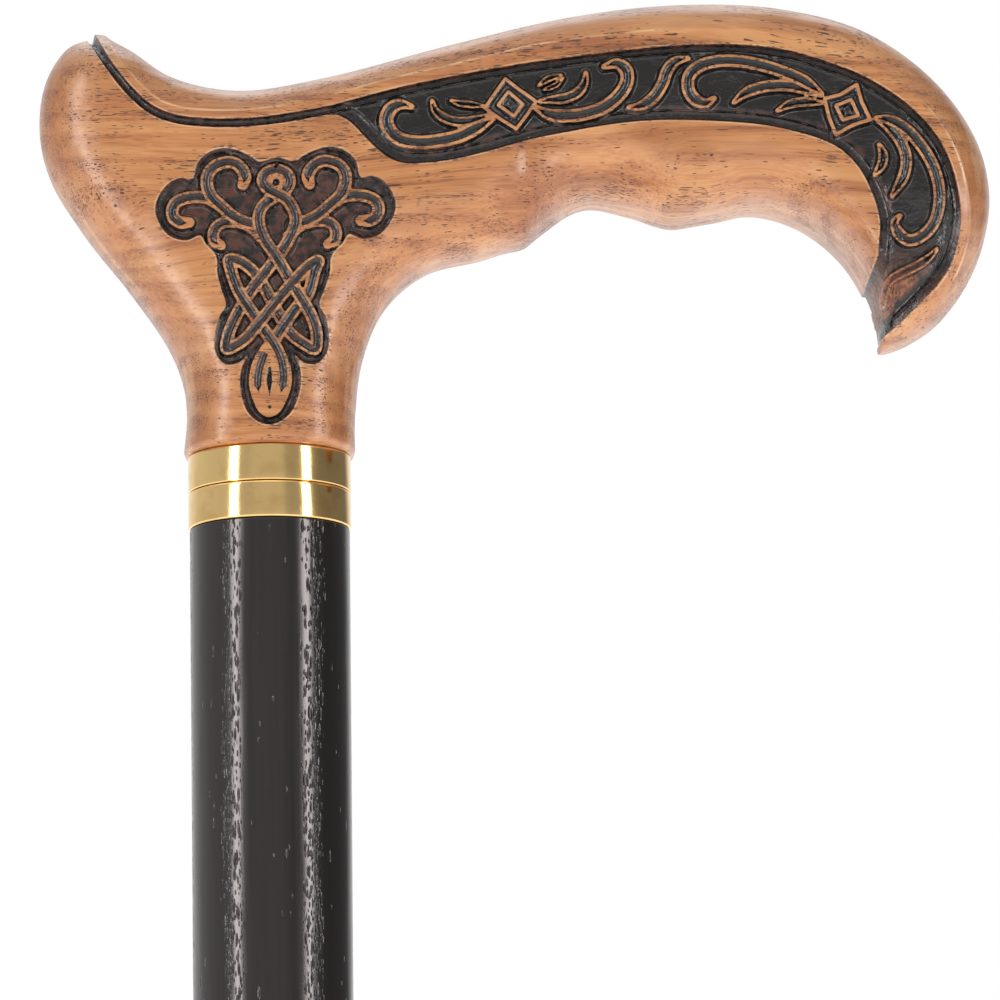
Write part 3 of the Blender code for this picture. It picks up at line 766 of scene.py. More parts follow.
        gap = nearest_on(self.arris_curve, points)[0]
        soft_top = eased(points[:, 0], 54.0, 66.0) * eased(points[:, 1], 42.0, 50.0)
        crease = gap + 1.5 * (1 - eased(points[:, 1], *self.arris.fade) + soft_top)
        lips = np.minimum(np.abs(upper - shape.upper_steps[3]), np.abs(lower - shape.lower_steps[3]))
        shore = np.where(panel > 0, LIP_REACH + lips, SHORE_END)
        shore = np.where(knot > 0, LIP_REACH + 0.08 + np.abs(knot - 0.35), shore)
        return Cut(
            depth=depth,
            paint=edge,
            stain=stain,
            owner=np.where(edge > 0, FLOOR, PLAIN),
            shore=np.clip(shore, 0.0, SHORE_END),
            aside=np.clip(-edge, 0.0, 2.0),
            crease=np.clip(crease, 0.0, 1.5),
            flush=self.red_brown_and_shade(points),
        )

    def plates(self, points: Array, cut: Cut) -> None:
        """Raises the teardrop and the ring's plate to the surface and sinks the diamonds' fields.

        Args:
            points: places in the handle's plane.
            cut: the cut at each of them, which this changes.
        """
        ring = self.knot.ring_plate - distance_to(self.knot.ring_centre, points)
        for height in (depth_inside(self.teardrop, points), ring):
            body = SHOULDER_DROP + WALL_SLOPE * np.maximum(0.0, -height)
            raised = body < cut.depth
            cut.depth[raised] = body[raised]
            cut.paint[raised] = -height[raised]
            cut.stain[raised & (height > 0)] = 0.0
            cut.shore = np.minimum(cut.shore, np.clip(-height, 0.0, SHORE_END))
        for corners in self.panel.diamonds:
            field = depth_inside(straight((*corners, corners[0]), ROW_STEP)[:-1], points) > 0
            cut.depth[field] = self.panel.diamond_depth

    def holes(self, points: Array, cut: Cut) -> None:
        """Cuts the teardrop's slit and dot, the ring's hole, and leaves the diamonds' round bosses.

        Args:
            points: places in the handle's plane.
            cut: the cut at each of them, which this changes.
        """
        knot = self.knot
        dot = distance_to(knot.dot_centre, points) - knot.dot_radius
        hole = distance_to(knot.ring_centre, points) - knot.ring_hole
        slit, along = nearest_on(spline(knot.slit, ROW_STEP), points)
        slit -= knot.slit_half_width * np.sin(np.pi * np.clip(along / knot.slit_length, 0.06, 0.94))
        for gap, depth in ((dot, knot.dot_depth), (hole, knot.ring_depth), (slit, knot.slit_depth)):
            cut.depth = np.maximum(cut.depth, depth * (1 - eased(gap, -0.3, 0.02)))
            cut.paint = np.maximum(cut.paint, np.where(gap < 0.25, -gap, cut.paint))
        for centre in self.panel.diamond_dots:
            gap = distance_to(centre, points)
            cut.depth = np.where(gap < 0.8, 0.5 - 0.3 * (1 - eased(gap, 0.3, 0.66)), cut.depth)

    def cut(self, points: Array) -> Cut:
        """Cuts the whole pattern.

        Args:
            points: places in the handle's plane.

        Returns:
            The cut at each of them.
        """
        made = self.floor(points)
        self.plates(points, made)
        body_best = made.depth.copy()
        for number, (strand, curve) in enumerate(zip(self.strands, self.curves)):
            span = strand.half_width + 0.8
            near = np.all((points > curve.min(0) - span) & (points < curve.max(0) + span), axis=1)
            near = np.flatnonzero(near)
            gap, along = nearest_on(curve, points[near])
            length = float(reach_along(curve)[-1])
            width, groove = strand.widths(along, length)
            body = strand.sunk + strand.dip(points[near]) + WALL_SLOPE * np.maximum(0.0, gap - width)
            body[strand.past_joint(along, length)] = np.inf
            made.shore[near] = np.minimum(made.shore[near], np.clip(gap - width, 0.0, SHORE_END))
            won = body < body_best[near]
            rows = near[won]
            body_best[rows] = body[won]
            made.owner[rows] = number
            hollow = np.where(groove > 0.02, 1 - (gap / np.maximum(groove, 0.02)) ** 2, 0.0)
            shoulder = SHOULDER_DROP * eased(gap, width - 0.16, width)
            made.depth[rows] = (body + GROOVE_DEPTH * np.clip(hollow, 0, 1) + shoulder)[won]
            in_groove = np.where(groove > 0.02, groove - gap, -1.0)
            made.paint[rows] = np.maximum(in_groove, gap - width)[won]
            if number < self.knot_strands:
                made.stain[rows] = self.knot.strand_stain
        self.holes(points, made)
        made.paint = np.clip(0.5 + made.paint / PAINT_SPREAD, 0.0, 1.0)
        return made

    def rows(self) -> Array:
        """Follows every edge of the carving, so that the handle's facets do too.

        Returns:
            The points along the edges.
        """
        rows, wanted = [], []
        for number, (strand, curve) in enumerate(zip(self.strands, self.curves)):
            along = reach_along(curve)
            width, groove = strand.widths(along, along[-1])
            zero = np.zeros(len(curve))
            offsets = (zero, groove, -groove, width - 0.01, 0.01 - width, width + 0.22, -width - 0.22)
            for place, offset in enumerate(offsets):
                rows.append(moved_aside(curve, offset))
                wanted.append(np.full(len(curve), number if place < 5 else FLOOR))
        for curve, side, offsets in (
            (self.border, 1.0, (0.0, 0.3, 0.55)),
            (self.teardrop, -1.0, (0.0, 0.2)),
            (self.upper, -1.0, self.panel.upper_steps),
            (self.lower, 1.0, self.panel.lower_steps[:4]),
            (self.line_curve, 1.0, (-self.line.half_width, -0.4, 0.0, 0.4, self.line.half_width)),
            (self.arris_curve, 1.0, (-0.4, 0.0, 0.4)),
        ):
            for offset in offsets:
                rows.append(moved_aside(curve, side * offset))
                wanted.append(np.full(len(curve), PLAIN))
        points, wanted = np.vstack(rows), np.concatenate(wanted)
        owner = self.cut(points).owner
        kept = np.where(wanted >= 0, owner == wanted, owner < 0)
        return points[kept]


@dataclass(frozen=True)
class HandleForm:
    """The handle's rounded blank: an outline, and a thickness that falls away at its edges.

    Attributes:
        stations: (across, height, half thickness, width of the back, top and inner rounding).
        squareness: 2 for an elliptic rounding, more for a squarer one.
    """

    half_base: float = 11.6
    back: Route = (
        (-11.6, 0.0), (-11.1, 6.0), (-11.7, 10.5), (-14.0, 16.0), (-19.3, 23.8), (-25.2, 31.6),
        (-29.7, 39.3), (-31.0, 46.0), (-29.9, 52.6), (-26.6, 57.2), (-23.0, 58.9),
    )
    top: Route = (
        (-23.0, 58.9), (-18.4, 56.2), (-12.8, 52.2), (-4.0, 50.2), (7.5, 51.8), (24.6, 56.2),
        (42.0, 60.1), (57.0, 61.6), (70.5, 60.8), (82.0, 57.4), (91.3, 50.4), (96.9, 41.9),
        (98.4, 34.1), (96.7, 26.2), (92.0, 18.7), (87.2, 15.2), (82.9, 13.6),
    )
    inner: Route = (
        (11.6, 0.0), (11.7, 6.0), (12.8, 13.5), (16.0, 20.8), (21.5, 25.6), (30.8, 28.2), (37.0, 32.6),
        (43.2, 34.9), (49.3, 33.7), (55.2, 32.0), (64.7, 34.0), (72.4, 32.2), (78.3, 27.6), (81.6, 22.0),
        (82.5, 18.6), (82.7, 16.0), (82.9, 13.6),
    )
    stations: tuple[tuple[float, ...], ...] = (
        (0.0, 0.0, 11.6, 9.5, 6.0, 9.5),
        (0.0, 14.0, 11.6, 10.5, 6.0, 11.0),
        (-6.0, 34.0, 11.0, 11.5, 5.5, 12.0),
        (-18.0, 48.0, 11.2, 11.5, 5.5, 10.0),
        (16.0, 41.0, 11.6, 11.0, 5.5, 10.0),
        (46.0, 47.0, 12.6, 11.0, 5.5, 9.0),
        (72.0, 47.0, 13.6, 11.0, 6.0, 8.5),
        (90.0, 36.0, 14.6, 11.0, 7.0, 6.0),
        (88.0, 23.0, 13.0, 11.0, 9.5, 2.0),
        (84.0, 15.0, 9.0, 11.0, 9.5, 0.8),
    )
    station_reach: float = 16.0
    edge_reach: float = 9.0
    squareness: float = 2.4
    outline_step: float = 0.5
    rounding_rings: int = 14

    def edges(self) -> list[Array]:
        """The back, top and inner edges as fine curves."""
        return [spline(route, self.outline_step) for route in (self.back, self.top, self.inner)]

    def outline(self) -> Array:
        """The closed outline, from the back of the base up, over the top and back under the hand."""
        back, top, inner = self.edges()
        return np.vstack([back[:-1], top[:-1], inner[::-1]])

    def sizes_at(self, points: Array) -> Array:
        """Eases the sizes between the stations.

        Args:
            points: places in the handle's plane.

        Returns:
            Half the thickness and the widths of the back, top and inner rounding at each.
        """
        stations = np.array(self.stations)
        gap = np.linalg.norm(points[:, None] - stations[None, :, :2], axis=2)
        weight = 1.0 / (gap * gap + self.station_reach**2) ** 2
        weight /= weight.sum(axis=1)[:, None]
        return weight @ stations[:, 2:]

    def spread_flat(self, points: Array, half: Array) -> Array:
        """Lays one side of the handle out flat, with its rounded rim opened outwards.

        Args:
            points: the plan's points.
            half: the half thickness at each.

        Returns:
            Where each point lies in the flat layout.
        """
        rim = self.outline()
        lengths = reach_along(rim)
        gap, along = nearest_on(rim, points)
        nearest = np.column_stack([np.interp(along, lengths, column) for column in rim.T])
        ahead = np.column_stack([np.interp(along, lengths, run) for run in np.gradient(rim, axis=0).T])
        side = ahead[:, ::-1] * (-1.0, 1.0)
        outward = np.where((gap < 0.02)[:, None], side, nearest - points)
        outward /= np.maximum(np.linalg.norm(outward, axis=1), 1e-9)[:, None]
        sizes = self.sizes_at(points)
        width = sizes[:, 1:].mean(axis=1)
        in_rounding = np.minimum(gap, width)
        whole = (sizes[:, 0] ** 1.5 + width**1.5) ** (2 / 3) - width
        done = (half**1.5 + in_rounding**1.5) ** (2 / 3) - in_rounding
        return points + outward * np.maximum(whole - done, 0.0)[:, None]

    def half_thickness(self, points: Array) -> Array:
        """Rounds the blank over at its edges.

        Args:
            points: places in the handle's plane.

        Returns:
            Half the wood's thickness at each.
        """
        sizes = self.sizes_at(points)
        full = np.ones(len(points))
        for column, edge in enumerate(self.edges(), 1):
            ends = []
            for end, before in ((edge[0], edge[1]), (edge[-1], edge[-2])):
                run = end - before
                ends.append(end + run / np.linalg.norm(run) * self.edge_reach)
            gap, _ = nearest_on(np.vstack([ends[0], edge, ends[1]]), points)
            share = np.clip(gap / sizes[:, column], 0.0, 1.0)
            full *= 1.0 - (1.0 - share) ** self.squareness
        return sizes[:, 0] * full ** (1.0 / self.squareness)

    def rounding_points(self) -> Array:
        """Lays rings inside the outline, closer together where the thickness falls away faster.

        Returns:
            The points of all rings.
        """
        rings = []
        edges = self.edges()
        for column, curve in enumerate(edges, 1):
            side = 1.0 if column == 3 else -1.0
            width = self.sizes_at(curve)[:, column]
            for ring in range(1, self.rounding_rings + 1):
                depth = width * (1.0 - math.cos(math.radians(90.0 * ring / self.rounding_rings)))
                moved = moved_aside(curve, side * depth)
                nearest = np.min([nearest_on(edge, moved)[0] for edge in edges], axis=0)
                rings.append(moved[(nearest > 0.9 * depth) & (moved[:, 1] > 0.25)])
        return np.vstack(rings)


class NodeSheet:
    """Short calls that add nodes to a tree and join them."""

    def __init__(self, tree: NodeTree) -> None:
        """Keeps the tree that the calls work on."""
        self.tree = tree

    def add(self, kind: str, feeds: dict[str | int, Any] | None = None, **settings: Any) -> Node:
        """Adds a node.

        Args:
            kind: the node's type without its first word.
            feeds: a value or another node's output for each input.
            settings: the node's own settings.

        Returns:
            The node.
        """
        made = self.tree.nodes.new(f"ShaderNode{kind}")
        for name, value in settings.items():
            setattr(made, name, value)
        self.dress(made, feeds or {})
        return made

    def dress(self, node: Node, feeds: dict[str | int, Any]) -> None:
        """Feeds the inputs of a node."""
        for key, value in feeds.items():
            self.feed(node.inputs[key], value)

    def feed(self, socket: Socket, value: Any) -> None:
        """Joins another node's output to a socket, or sets its value.

        Args:
            socket: the input.
            value: an output, a number, or three numbers for a colour or a vector.
        """
        if isinstance(value, Socket):
            self.tree.links.new(value, socket)
        elif socket.type == "RGBA" and len(value) == 3:
            socket.default_value = (*value, 1.0)
        else:
            socket.default_value = value

    def maths(self, operation: str, *values: Any) -> Socket:
        """A sum of up to three numbers."""
        return self.add("Math", dict(enumerate(values)), operation=operation).outputs[0]

    def times(self, first: Any, second: Any) -> Socket:
        """One number times another."""
        return self.maths("MULTIPLY", first, second)

    def most(self, first: Any, second: Any) -> Socket:
        """The larger of two numbers."""
        return self.maths("MAXIMUM", first, second)

    def adding(self, value: Any, factor: Any, rest: Any) -> Socket:
        """A number times a factor, added to the rest."""
        return self.maths("MULTIPLY_ADD", value, factor, rest)

    def step(self, value: Any, low: float, high: float, bottom: float = 0.0, top: float = 1.0) -> Socket:
        """A smooth rise from bottom at low to top at high."""
        feeds = {"Value": value, "From Min": low, "From Max": high, "To Min": bottom, "To Max": top}
        return self.add("MapRange", feeds, interpolation_type="SMOOTHSTEP").outputs["Result"]

    def mixed(self, share: Any, first: Any, second: Any) -> Socket:
        """Two colours mixed by a share."""
        feeds = {0: share, 6: first, 7: second}
        return self.add("Mix", feeds, data_type="RGBA").outputs[2]

    def vector(self, operation: str, *values: Any, **named: Any) -> Socket:
        """A sum of vectors."""
        feeds = {**dict(enumerate(values)), **named}
        return self.add("VectorMath", feeds, operation=operation).outputs[0]

    def parts(self, place: Socket) -> NodeOutputs:
        """The X, Y and Z of a place."""
        return self.add("SeparateXYZ", {0: place}).outputs

    def joined(self, *parts: Any) -> Socket:
        """A vector from its X, Y and Z."""
        return self.add("CombineXYZ", dict(enumerate(parts))).outputs[0]

    def place(self) -> Socket:
        """The shaded point in the piece's own frame, in millimetres."""
        return self.vector("SCALE", self.add("TexCoord").outputs["Object"], Scale=1.0 / MM)

    def measure(self, name: str) -> Socket:
        """A value that the mesh carries at its points."""
        return self.add("Attribute", attribute_name=name).outputs["Fac"]

    def noise(self, place: Any, scale: float, detail: float = 2.0, roughness: float = 0.5) -> Socket:
        """Soft noise from 0 to 1 at a place."""
        feeds = {"Vector": place, "Scale": scale, "Detail": detail, "Roughness": roughness}
        return self.add("TexNoise", feeds).outputs["Fac"]

    def cloud(self, place: Any, scales: Triple, detail: float = 2.0) -> Socket:
        """Soft noise with its own scale along each axis."""
        return self.noise(self.vector("MULTIPLY", place, scales), 1.0, detail)

    def drifted(self, place: Socket, scales: Triple, reach: Triple) -> Socket:
        """Bends a place slowly from side to side, as wood grows.

        Args:
            place: the place.
            scales: how fast the bending changes along each axis.
            reach: how far it goes along each axis.

        Returns:
            The bent place.
        """
        slow = self.vector("MULTIPLY", place, scales)
        drift = self.add("TexNoise", {"Vector": slow, "Scale": 1.0, "Detail": 1.0}).outputs["Color"]
        swing = self.vector("MULTIPLY", self.vector("SUBTRACT", drift, (0.5, 0.5, 0.5)), reach)
        return self.vector("ADD", place, swing)

    def stretched(self, place: Socket, length: Socket, width: Socket) -> Socket:
        """A place in which one step is a length along X and a width across it."""
        return self.vector("DIVIDE", place, self.joined(length, width, width))

    def bump(self, height: Socket, depth: float, strength: float, **over: Socket) -> Socket:
        """The normal of a relief, its depth in millimetres, over another Normal where one is given."""
        feeds = {"Height": height, "Distance": depth * MM, "Strength": strength, **over}
        return self.add("Bump", feeds).outputs["Normal"]

    def shared(self, name: str, **feeds: Any) -> NodeOutputs:
        """The outputs of a shared group that gets these values."""
        return self.add("Group", feeds, node_tree=shared_group(name)).outputs


def new_group(name: str, inputs: dict[str, float], *outputs: str) -> tuple[NodeSheet, NodeOutputs, Node]:
    """Starts a shader node group that reads a place.

    Args:
        name: the group's name.
        inputs: its numbers beside the place, with their defaults.
        outputs: the names of the numbers that it gives.

    Returns:
        The sheet, what the group is given and the node that takes what it gives.
    """
    tree = bpy.data.node_groups.new(name, "ShaderNodeTree")
    tree.interface.new_socket(name="Place", in_out="INPUT", socket_type="NodeSocketVector")
    for label, default in inputs.items():
        socket = tree.interface.new_socket(name=label, in_out="INPUT", socket_type="NodeSocketFloat")
        socket.default_value = default
    for label in outputs:
        tree.interface.new_socket(name=label, in_out="OUTPUT", socket_type="NodeSocketFloat")
    given = tree.nodes.new("NodeGroupInput").outputs
    return NodeSheet(tree), given, tree.nodes.new("NodeGroupOutput")


def pore_group() -> NodeTree:
    """Open pores that run along X of the given place: long dashes, and dots on end grain.

    Returns:
        The group, which gives the pores' mask and how deep they are.
    """
    sizes = {"Length": 5.0, "Width": 0.4, "Share": 0.4, "Fullness": 0.3}
    sheet, given, taken = new_group("open_pores", sizes, "Mask", "Depth")
    scaled = sheet.stretched(given["Place"], given["Length"], given["Width"])
    cells = sheet.add("TexVoronoi", {"Vector": scaled, "Scale": 1.0, "Randomness": 1.0}).outputs
    chance = sheet.add("SeparateColor", {0: cells["Color"]}).outputs
    there = sheet.maths("LESS_THAN", chance[0], given["Share"])
    there = sheet.times(there, sheet.step(chance[1], 0.0, 0.7, 0.35, 1.0))
    near = sheet.maths("DIVIDE", cells["Distance"], given["Fullness"])
    mask = sheet.times(there, sheet.step(near, 1.0, 0.65))
    depth = sheet.times(there, sheet.step(near, 1.0, 0.0))
    sheet.dress(taken, {"Mask": mask, "Depth": depth})
    return sheet.tree


def fibre_group() -> NodeTree:
    """Fine fibres that run along X of the given place.

    Returns:
        The group, which gives a value from 0 to 1.
    """
    sizes = {"Length": 18.0, "Width": 0.6, "Detail": 4.0}
    sheet, given, taken = new_group("wood_fibres", sizes, "Value")
    scaled = sheet.stretched(given["Place"], given["Length"], given["Width"])
    sheet.dress(taken, {"Value": sheet.noise(scaled, 1.0, given["Detail"])})
    return sheet.tree


def scratch_group() -> NodeTree:
    """Fine polishing lines round the Z axis, with wider soft smudges over them.

    Returns:
        The group, which gives the lines and the smudges.
    """
    sheet, given, taken = new_group("polish_lines", {"Pitch": 0.08}, "Lines", "Smudges")
    scaled = sheet.vector("DIVIDE", given["Place"], sheet.joined(9.0, 9.0, given["Pitch"]))
    smudges = sheet.noise(given["Place"], 0.35, 3.0)
    sheet.dress(taken, {"Lines": sheet.noise(scaled, 1.0, 3.0), "Smudges": smudges})
    return sheet.tree


def shared_group(name: str) -> NodeTree:
    """The shader group of that name, built once."""
    makers = {"open_pores": pore_group, "wood_fibres": fibre_group, "polish_lines": scratch_group}
    return bpy.data.node_groups.get(name) or makers[name]()


class PoreKind(NamedTuple):
    """One kind of pore: its length and width, how much of its cell it fills, and where its cells start."""

    length: float
    width: float
    fullness: float
    start: Triple = (0.0, 0.0, 0.0)

    def drawn(self, sheet: NodeSheet, place: Socket, share: Socket) -> NodeOutputs:
        """Draws the pores in a share of the cells.

        Args:
            sheet: the material's sheet.
            place: the place, with the grain along X.
            share: the share of cells that hold a pore.

        Returns:
            Their Mask and Depth.
        """
        moved = sheet.vector("ADD", place, self.start)
        sizes = {"Length": self.length, "Width": self.width, "Fullness": self.fullness}
        return sheet.shared("open_pores", Place=moved, Share=share, **sizes)


def new_material(name: str) -> tuple[Material, NodeSheet, Node]:
    """Starts a material.

    Args:
        name: its name.

    Returns:
        The material, its sheet and its Principled shader.
    """
    material = bpy.data.materials.new(name)
    material.use_nodes = True
    return material, NodeSheet(material.node_tree), material.node_tree.nodes["Principled BSDF"]


class Grain(NamedTuple):
    """Where a point lies in the wood, and the sheet that its nodes go on.

    Attributes:
        sheet: the material's sheet.
        place: the point, in millimetres.
        warped: the point in wood whose grain runs straight along X.
        radius: the distance from the pith.
        angle: the angle round the pith.
        ring: how far through its yearly ring the point is, from 0 to 1.
    """

    sheet: NodeSheet
    place: Socket
    warped: Socket
    radius: Socket
    angle: Socket
    ring: Socket


@dataclass(frozen=True)
class CarvedWood:
    """Honey-coloured open-pored wood under satin lacquer, with black paint and stain in the carving."""

    pale: Colour = (0.66, 0.302, 0.110)
    middle: Colour = (0.54, 0.212, 0.067)
    dark: Colour = (0.33, 0.103, 0.029)
    # Red-brown of the patches, stain and scars; on one swelling's flank it is painted shade.
    red_brown_and_shade: Colour = (0.38, 0.122, 0.035)
    # Pale wood of the rays, and of the broken lines of sanding and painted highlight.
    rim: Colour = (0.86, 0.55, 0.32)
    pore: Colour = (0.050, 0.019, 0.010)
    black: Colour = (0.0125, 0.0100, 0.0088)
    red_brown: Colour = (0.140, 0.047, 0.028)
    # Pale grey of the painted glint along the lips beside the strands and channels.
    painted_glint: Colour = (0.17, 0.15, 0.135)
    roughness: float = 0.40
    paint_roughness: float = 0.15
    stained_roughness: float = 0.22
    coat: float = 0.45
    coat_roughness: float = 0.26
    end_grain_stain: float = 0.45
    drift_scales: Triple = (0.012, 0.05, 0.05)
    drift_reach: Triple = (0.0, 13.0, 13.0)
    ring_width: float = 3.1
    pith: Pair = (14.0, 768.0)
    middle_tones: Pair = (0.98, 1.34)
    dark_tones: Pair = (1.26, 1.62)
    ray_scales: Triple = (0.04, 1.3, 1.0)
    ray_turn: float = 130.0
    blotch_scales: Triple = (0.035, 0.08, 0.11)
    torn_scales: Triple = (0.35, 0.8, 0.8)
    crowd_scales: Triple = (0.07, 0.16, 0.16)
    ragged_scales: Triple = (1.4, 4.5, 4.5)
    sanded_highlight_scales: Triple = (0.12, 0.3, 0.12)
    scar_scales: Triple = (1.9, 2.4, 0.9)
    long_pores: PoreKind = PoreKind(3.4, 0.27, 0.36)
    short_pores: PoreKind = PoreKind(1.2, 0.18, 0.36, (3.7, 1.9, 5.3))
    cracks: PoreKind = PoreKind(11.0, 0.22, 0.28, (9.1, 4.4, 2.6))

    def grain(self, sheet: NodeSheet) -> Grain:
        """Bends the wood's grain and finds the pith.

        Args:
            sheet: the material's sheet.

        Returns:
            Where the shaded point lies in the wood.
        """
        place = sheet.place()
        warped = sheet.drifted(place, self.drift_scales, self.drift_reach)
        parts = sheet.parts(warped)
        across = sheet.maths("SUBTRACT", parts["Y"], self.pith[0])
        upward = sheet.maths("SUBTRACT", parts["Z"], self.pith[1])
        squared = sheet.maths("ADD", sheet.maths("POWER", across, 2.0), sheet.maths("POWER", upward, 2.0))
        radius = sheet.maths("SQRT", squared)
        ring = sheet.maths("FRACT", sheet.maths("DIVIDE", radius, self.ring_width))
        return Grain(sheet, place, warped, radius, sheet.maths("ARCTAN2", across, upward), ring)

    def figure(self, grain: Grain, fibres: Socket) -> Socket:
        """Shades the wood by its fibres, streaks and yearly rings.

        Args:
            grain: where the point lies in the wood.
            fibres: the fine fibres.

        Returns:
            The colour without stain, rays and pores.
        """
        sheet = grain.sheet
        early = sheet.times(sheet.step(grain.ring, 0.0, 0.12), sheet.step(grain.ring, 0.8, 0.2))
        streaks = sheet.shared("wood_fibres", Place=grain.warped, Length=70.0, Width=2.6, Detail=3.0)[0]
        lines = sheet.shared("wood_fibres", Place=grain.warped, Length=9.0, Width=0.17, Detail=2.0)[0]
        tone = sheet.adding(fibres, 0.70, sheet.times(streaks, 1.05))
        tone = sheet.adding(lines, 0.62, tone)
        tone = sheet.adding(early, 0.16, tone)
        light = sheet.mixed(sheet.step(tone, *self.middle_tones), self.pale, self.middle)
        return sheet.mixed(sheet.step(tone, *self.dark_tones), light, self.dark)

    def bare(self, grain: Grain, fibres: Socket, flush: Socket) -> Socket:
        """Adds the wood's red-brown blotches and patches, one patch being painted shade, its end grain and
        its rays.

        Args:
            grain: where the point lies in the wood.
            fibres: the fine fibres.
            flush: how much the wood turns red-brown there, in part as painted shade.

        Returns:
            The colour without pores and paint.
        """
        sheet = grain.sheet
        red = sheet.step(sheet.cloud(grain.place, self.blotch_scales, 3.0), 0.50, 0.72, 0.0, 0.62)
        torn = sheet.cloud(grain.place, self.torn_scales, 5.0)
        # The patches, one of them painted shade on the first swelling's flank.
        red = sheet.most(red, sheet.times(flush, sheet.step(torn, 0.34, 0.58, 0.50, 1.15)))
        facing = sheet.parts(sheet.add("NewGeometry").outputs["Normal"])["X"]
        end_grain = sheet.step(sheet.maths("ABSOLUTE", facing), 0.35, 0.8)
        red = sheet.most(red, sheet.times(end_grain, self.end_grain_stain))
        turned_red = sheet.mixed(red, self.figure(grain, fibres), self.red_brown_and_shade)
        ray_place = sheet.joined(grain.radius, sheet.times(grain.angle, self.ray_turn), 0.0)
        rays = sheet.step(sheet.cloud(ray_place, self.ray_scales, 1.0), 0.56, 0.66)
        rays = sheet.times(sheet.times(rays, end_grain), 0.30)
        return sheet.mixed(rays, turned_red, self.rim)

    def pores(self, grain: Grain, flush: Socket) -> Socket:
        """Makes short dark pores, crowded in patches and in the early part of each ring.

        Args:
            grain: where the point lies in the wood.
            flush: how much the wood turns red-brown there, in part as painted shade.

        Returns:
            The pores' mask.
        """
        sheet = grain.sheet
        early = sheet.step(grain.ring, 0.75, 0.25)
        crowd = sheet.step(sheet.cloud(grain.place, self.crowd_scales), 0.45, 0.60, 0.07, 0.70)
        share = sheet.times(crowd, sheet.adding(early, 0.9, 0.35))
        share = sheet.adding(flush, 0.35, share)
        kinds = (self.long_pores, self.short_pores, self.cracks)
        long, short, cracks = (kind.drawn(sheet, grain.warped, share)["Mask"] for kind in kinds)
        return sheet.most(sheet.most(long, short), sheet.times(cracks, 0.7))

    def paint(self, grain: Grain, fibres: Socket, aside: Socket) -> Socket:
        """Paints the carving black, ragged at its edge and drawn along the fibres beside it.

        Args:
            grain: where the point lies in the wood.
            fibres: the fine fibres.
            aside: the distance outside the carving.

        Returns:
            The paint's mask.
        """
        sheet = grain.sheet
        ragged = sheet.cloud(grain.place, self.ragged_scales, 3.0)
        field = sheet.maths("SUBTRACT", sheet.measure("paint"), 0.16)
        solid = sheet.step(sheet.adding(ragged, 0.32, field), 0.42, 0.58)
        crept = sheet.times(sheet.step(aside, 0.9, 0.05), sheet.step(fibres, 0.50, 0.62))
        crept = sheet.times(crept, sheet.step(ragged, 0.46, 0.58, 0.0, 0.75))
        outside = sheet.maths("GREATER_THAN", aside, 0.005)
        return sheet.most(solid, sheet.times(crept, outside))

    def sanded_and_highlit(self, grain: Grain, aside: Socket) -> Socket:
        """Lightens the wood in broken lines: beside the black, by sanding and partly as painted highlight,
        and along the arris as a painted highlight.

        Args:
            grain: where the point lies in the wood.
            aside: the distance outside the carving.

        Returns:
            How far the wood is lightened, by sanding and by painted highlight.
        """
        sheet = grain.sheet
        beside = sheet.times(sheet.step(aside, 0.02, 0.10), sheet.step(aside, 0.28, 0.14))
        along = sheet.step(sheet.measure("crease"), 0.22, 0.05)
        both = sheet.most(sheet.times(beside, 0.6), sheet.times(along, 0.7))
        return sheet.times(both, sheet.step(sheet.cloud(grain.place, self.sanded_highlight_scales), 0.36, 0.60))

    def painted(self, grain: Grain, stain: Socket, lip: Socket) -> Socket:
        """Stains the black paint red-brown, scars it near the nose and paints pale glints along its lips.

        Args:
            grain: where the point lies in the wood.
            stain: how much red-brown stain shows.
            lip: the mask of the lip beside each strand.

        Returns:
            The colour in the carving.
        """
        sheet = grain.sheet
        mottle = sheet.noise(grain.place, 0.75, 3.0)
        stained = sheet.times(stain, sheet.step(mottle, 0.38, 0.60))
        dark = sheet.mixed(stained, self.black, self.red_brown)
        scars = sheet.step(sheet.cloud(grain.place, self.scar_scales, 4.0), 0.42, 0.60, 0.06, 0.85)
        dark = sheet.mixed(sheet.times(scars, sheet.step(stain, 0.8, 1.0)), dark, self.red_brown_and_shade)
        # Painted glint: the lip lines are lightened to stand in for the light that they catch.
        glint_share = sheet.times(lip, sheet.step(mottle, 0.40, 0.60, 0.0, 0.55))
        return sheet.mixed(glint_share, dark, self.painted_glint)

    def material(self) -> Material:
        """Builds the finish.

        Returns:
            The material.
        """
        made, sheet, shader = new_material("carved_wood")
        grain = self.grain(sheet)
        flush, stain, aside, shore = map(sheet.measure, ("flush", "stain", "aside", "shore"))
        fibres = sheet.shared("wood_fibres", Place=grain.warped)[0]
        pores = self.pores(grain, flush)
        paint = self.paint(grain, fibres, aside)
        lip = sheet.times(sheet.step(shore, 0.24, 0.42), sheet.step(shore, 0.60, 0.44))

        # Lightens broken lines of sanding and painted highlight beside the black, and paints a highlight
        # along the arris.
        worn = sheet.mixed(self.sanded_and_highlit(grain, aside), self.bare(grain, fibres, flush), self.rim)
        worn = sheet.mixed(sheet.step(stain, 0.8, 1.0, 0.0, 0.6), worn, self.red_brown_and_shade)
        open_wood = sheet.mixed(sheet.times(pores, 0.93), worn, self.pore)

        wave = sheet.bump(sheet.noise(grain.place, 0.13, 2.0, 0.4), 2.2, 0.5)
        fine = sheet.bump(sheet.adding(fibres, 0.35, sheet.times(pores, -1.0)), 0.06, 0.7, Normal=wave)
        rough = sheet.times(sheet.adding(sheet.noise(grain.place, 1.7, 3.0), 0.9, lip), paint)

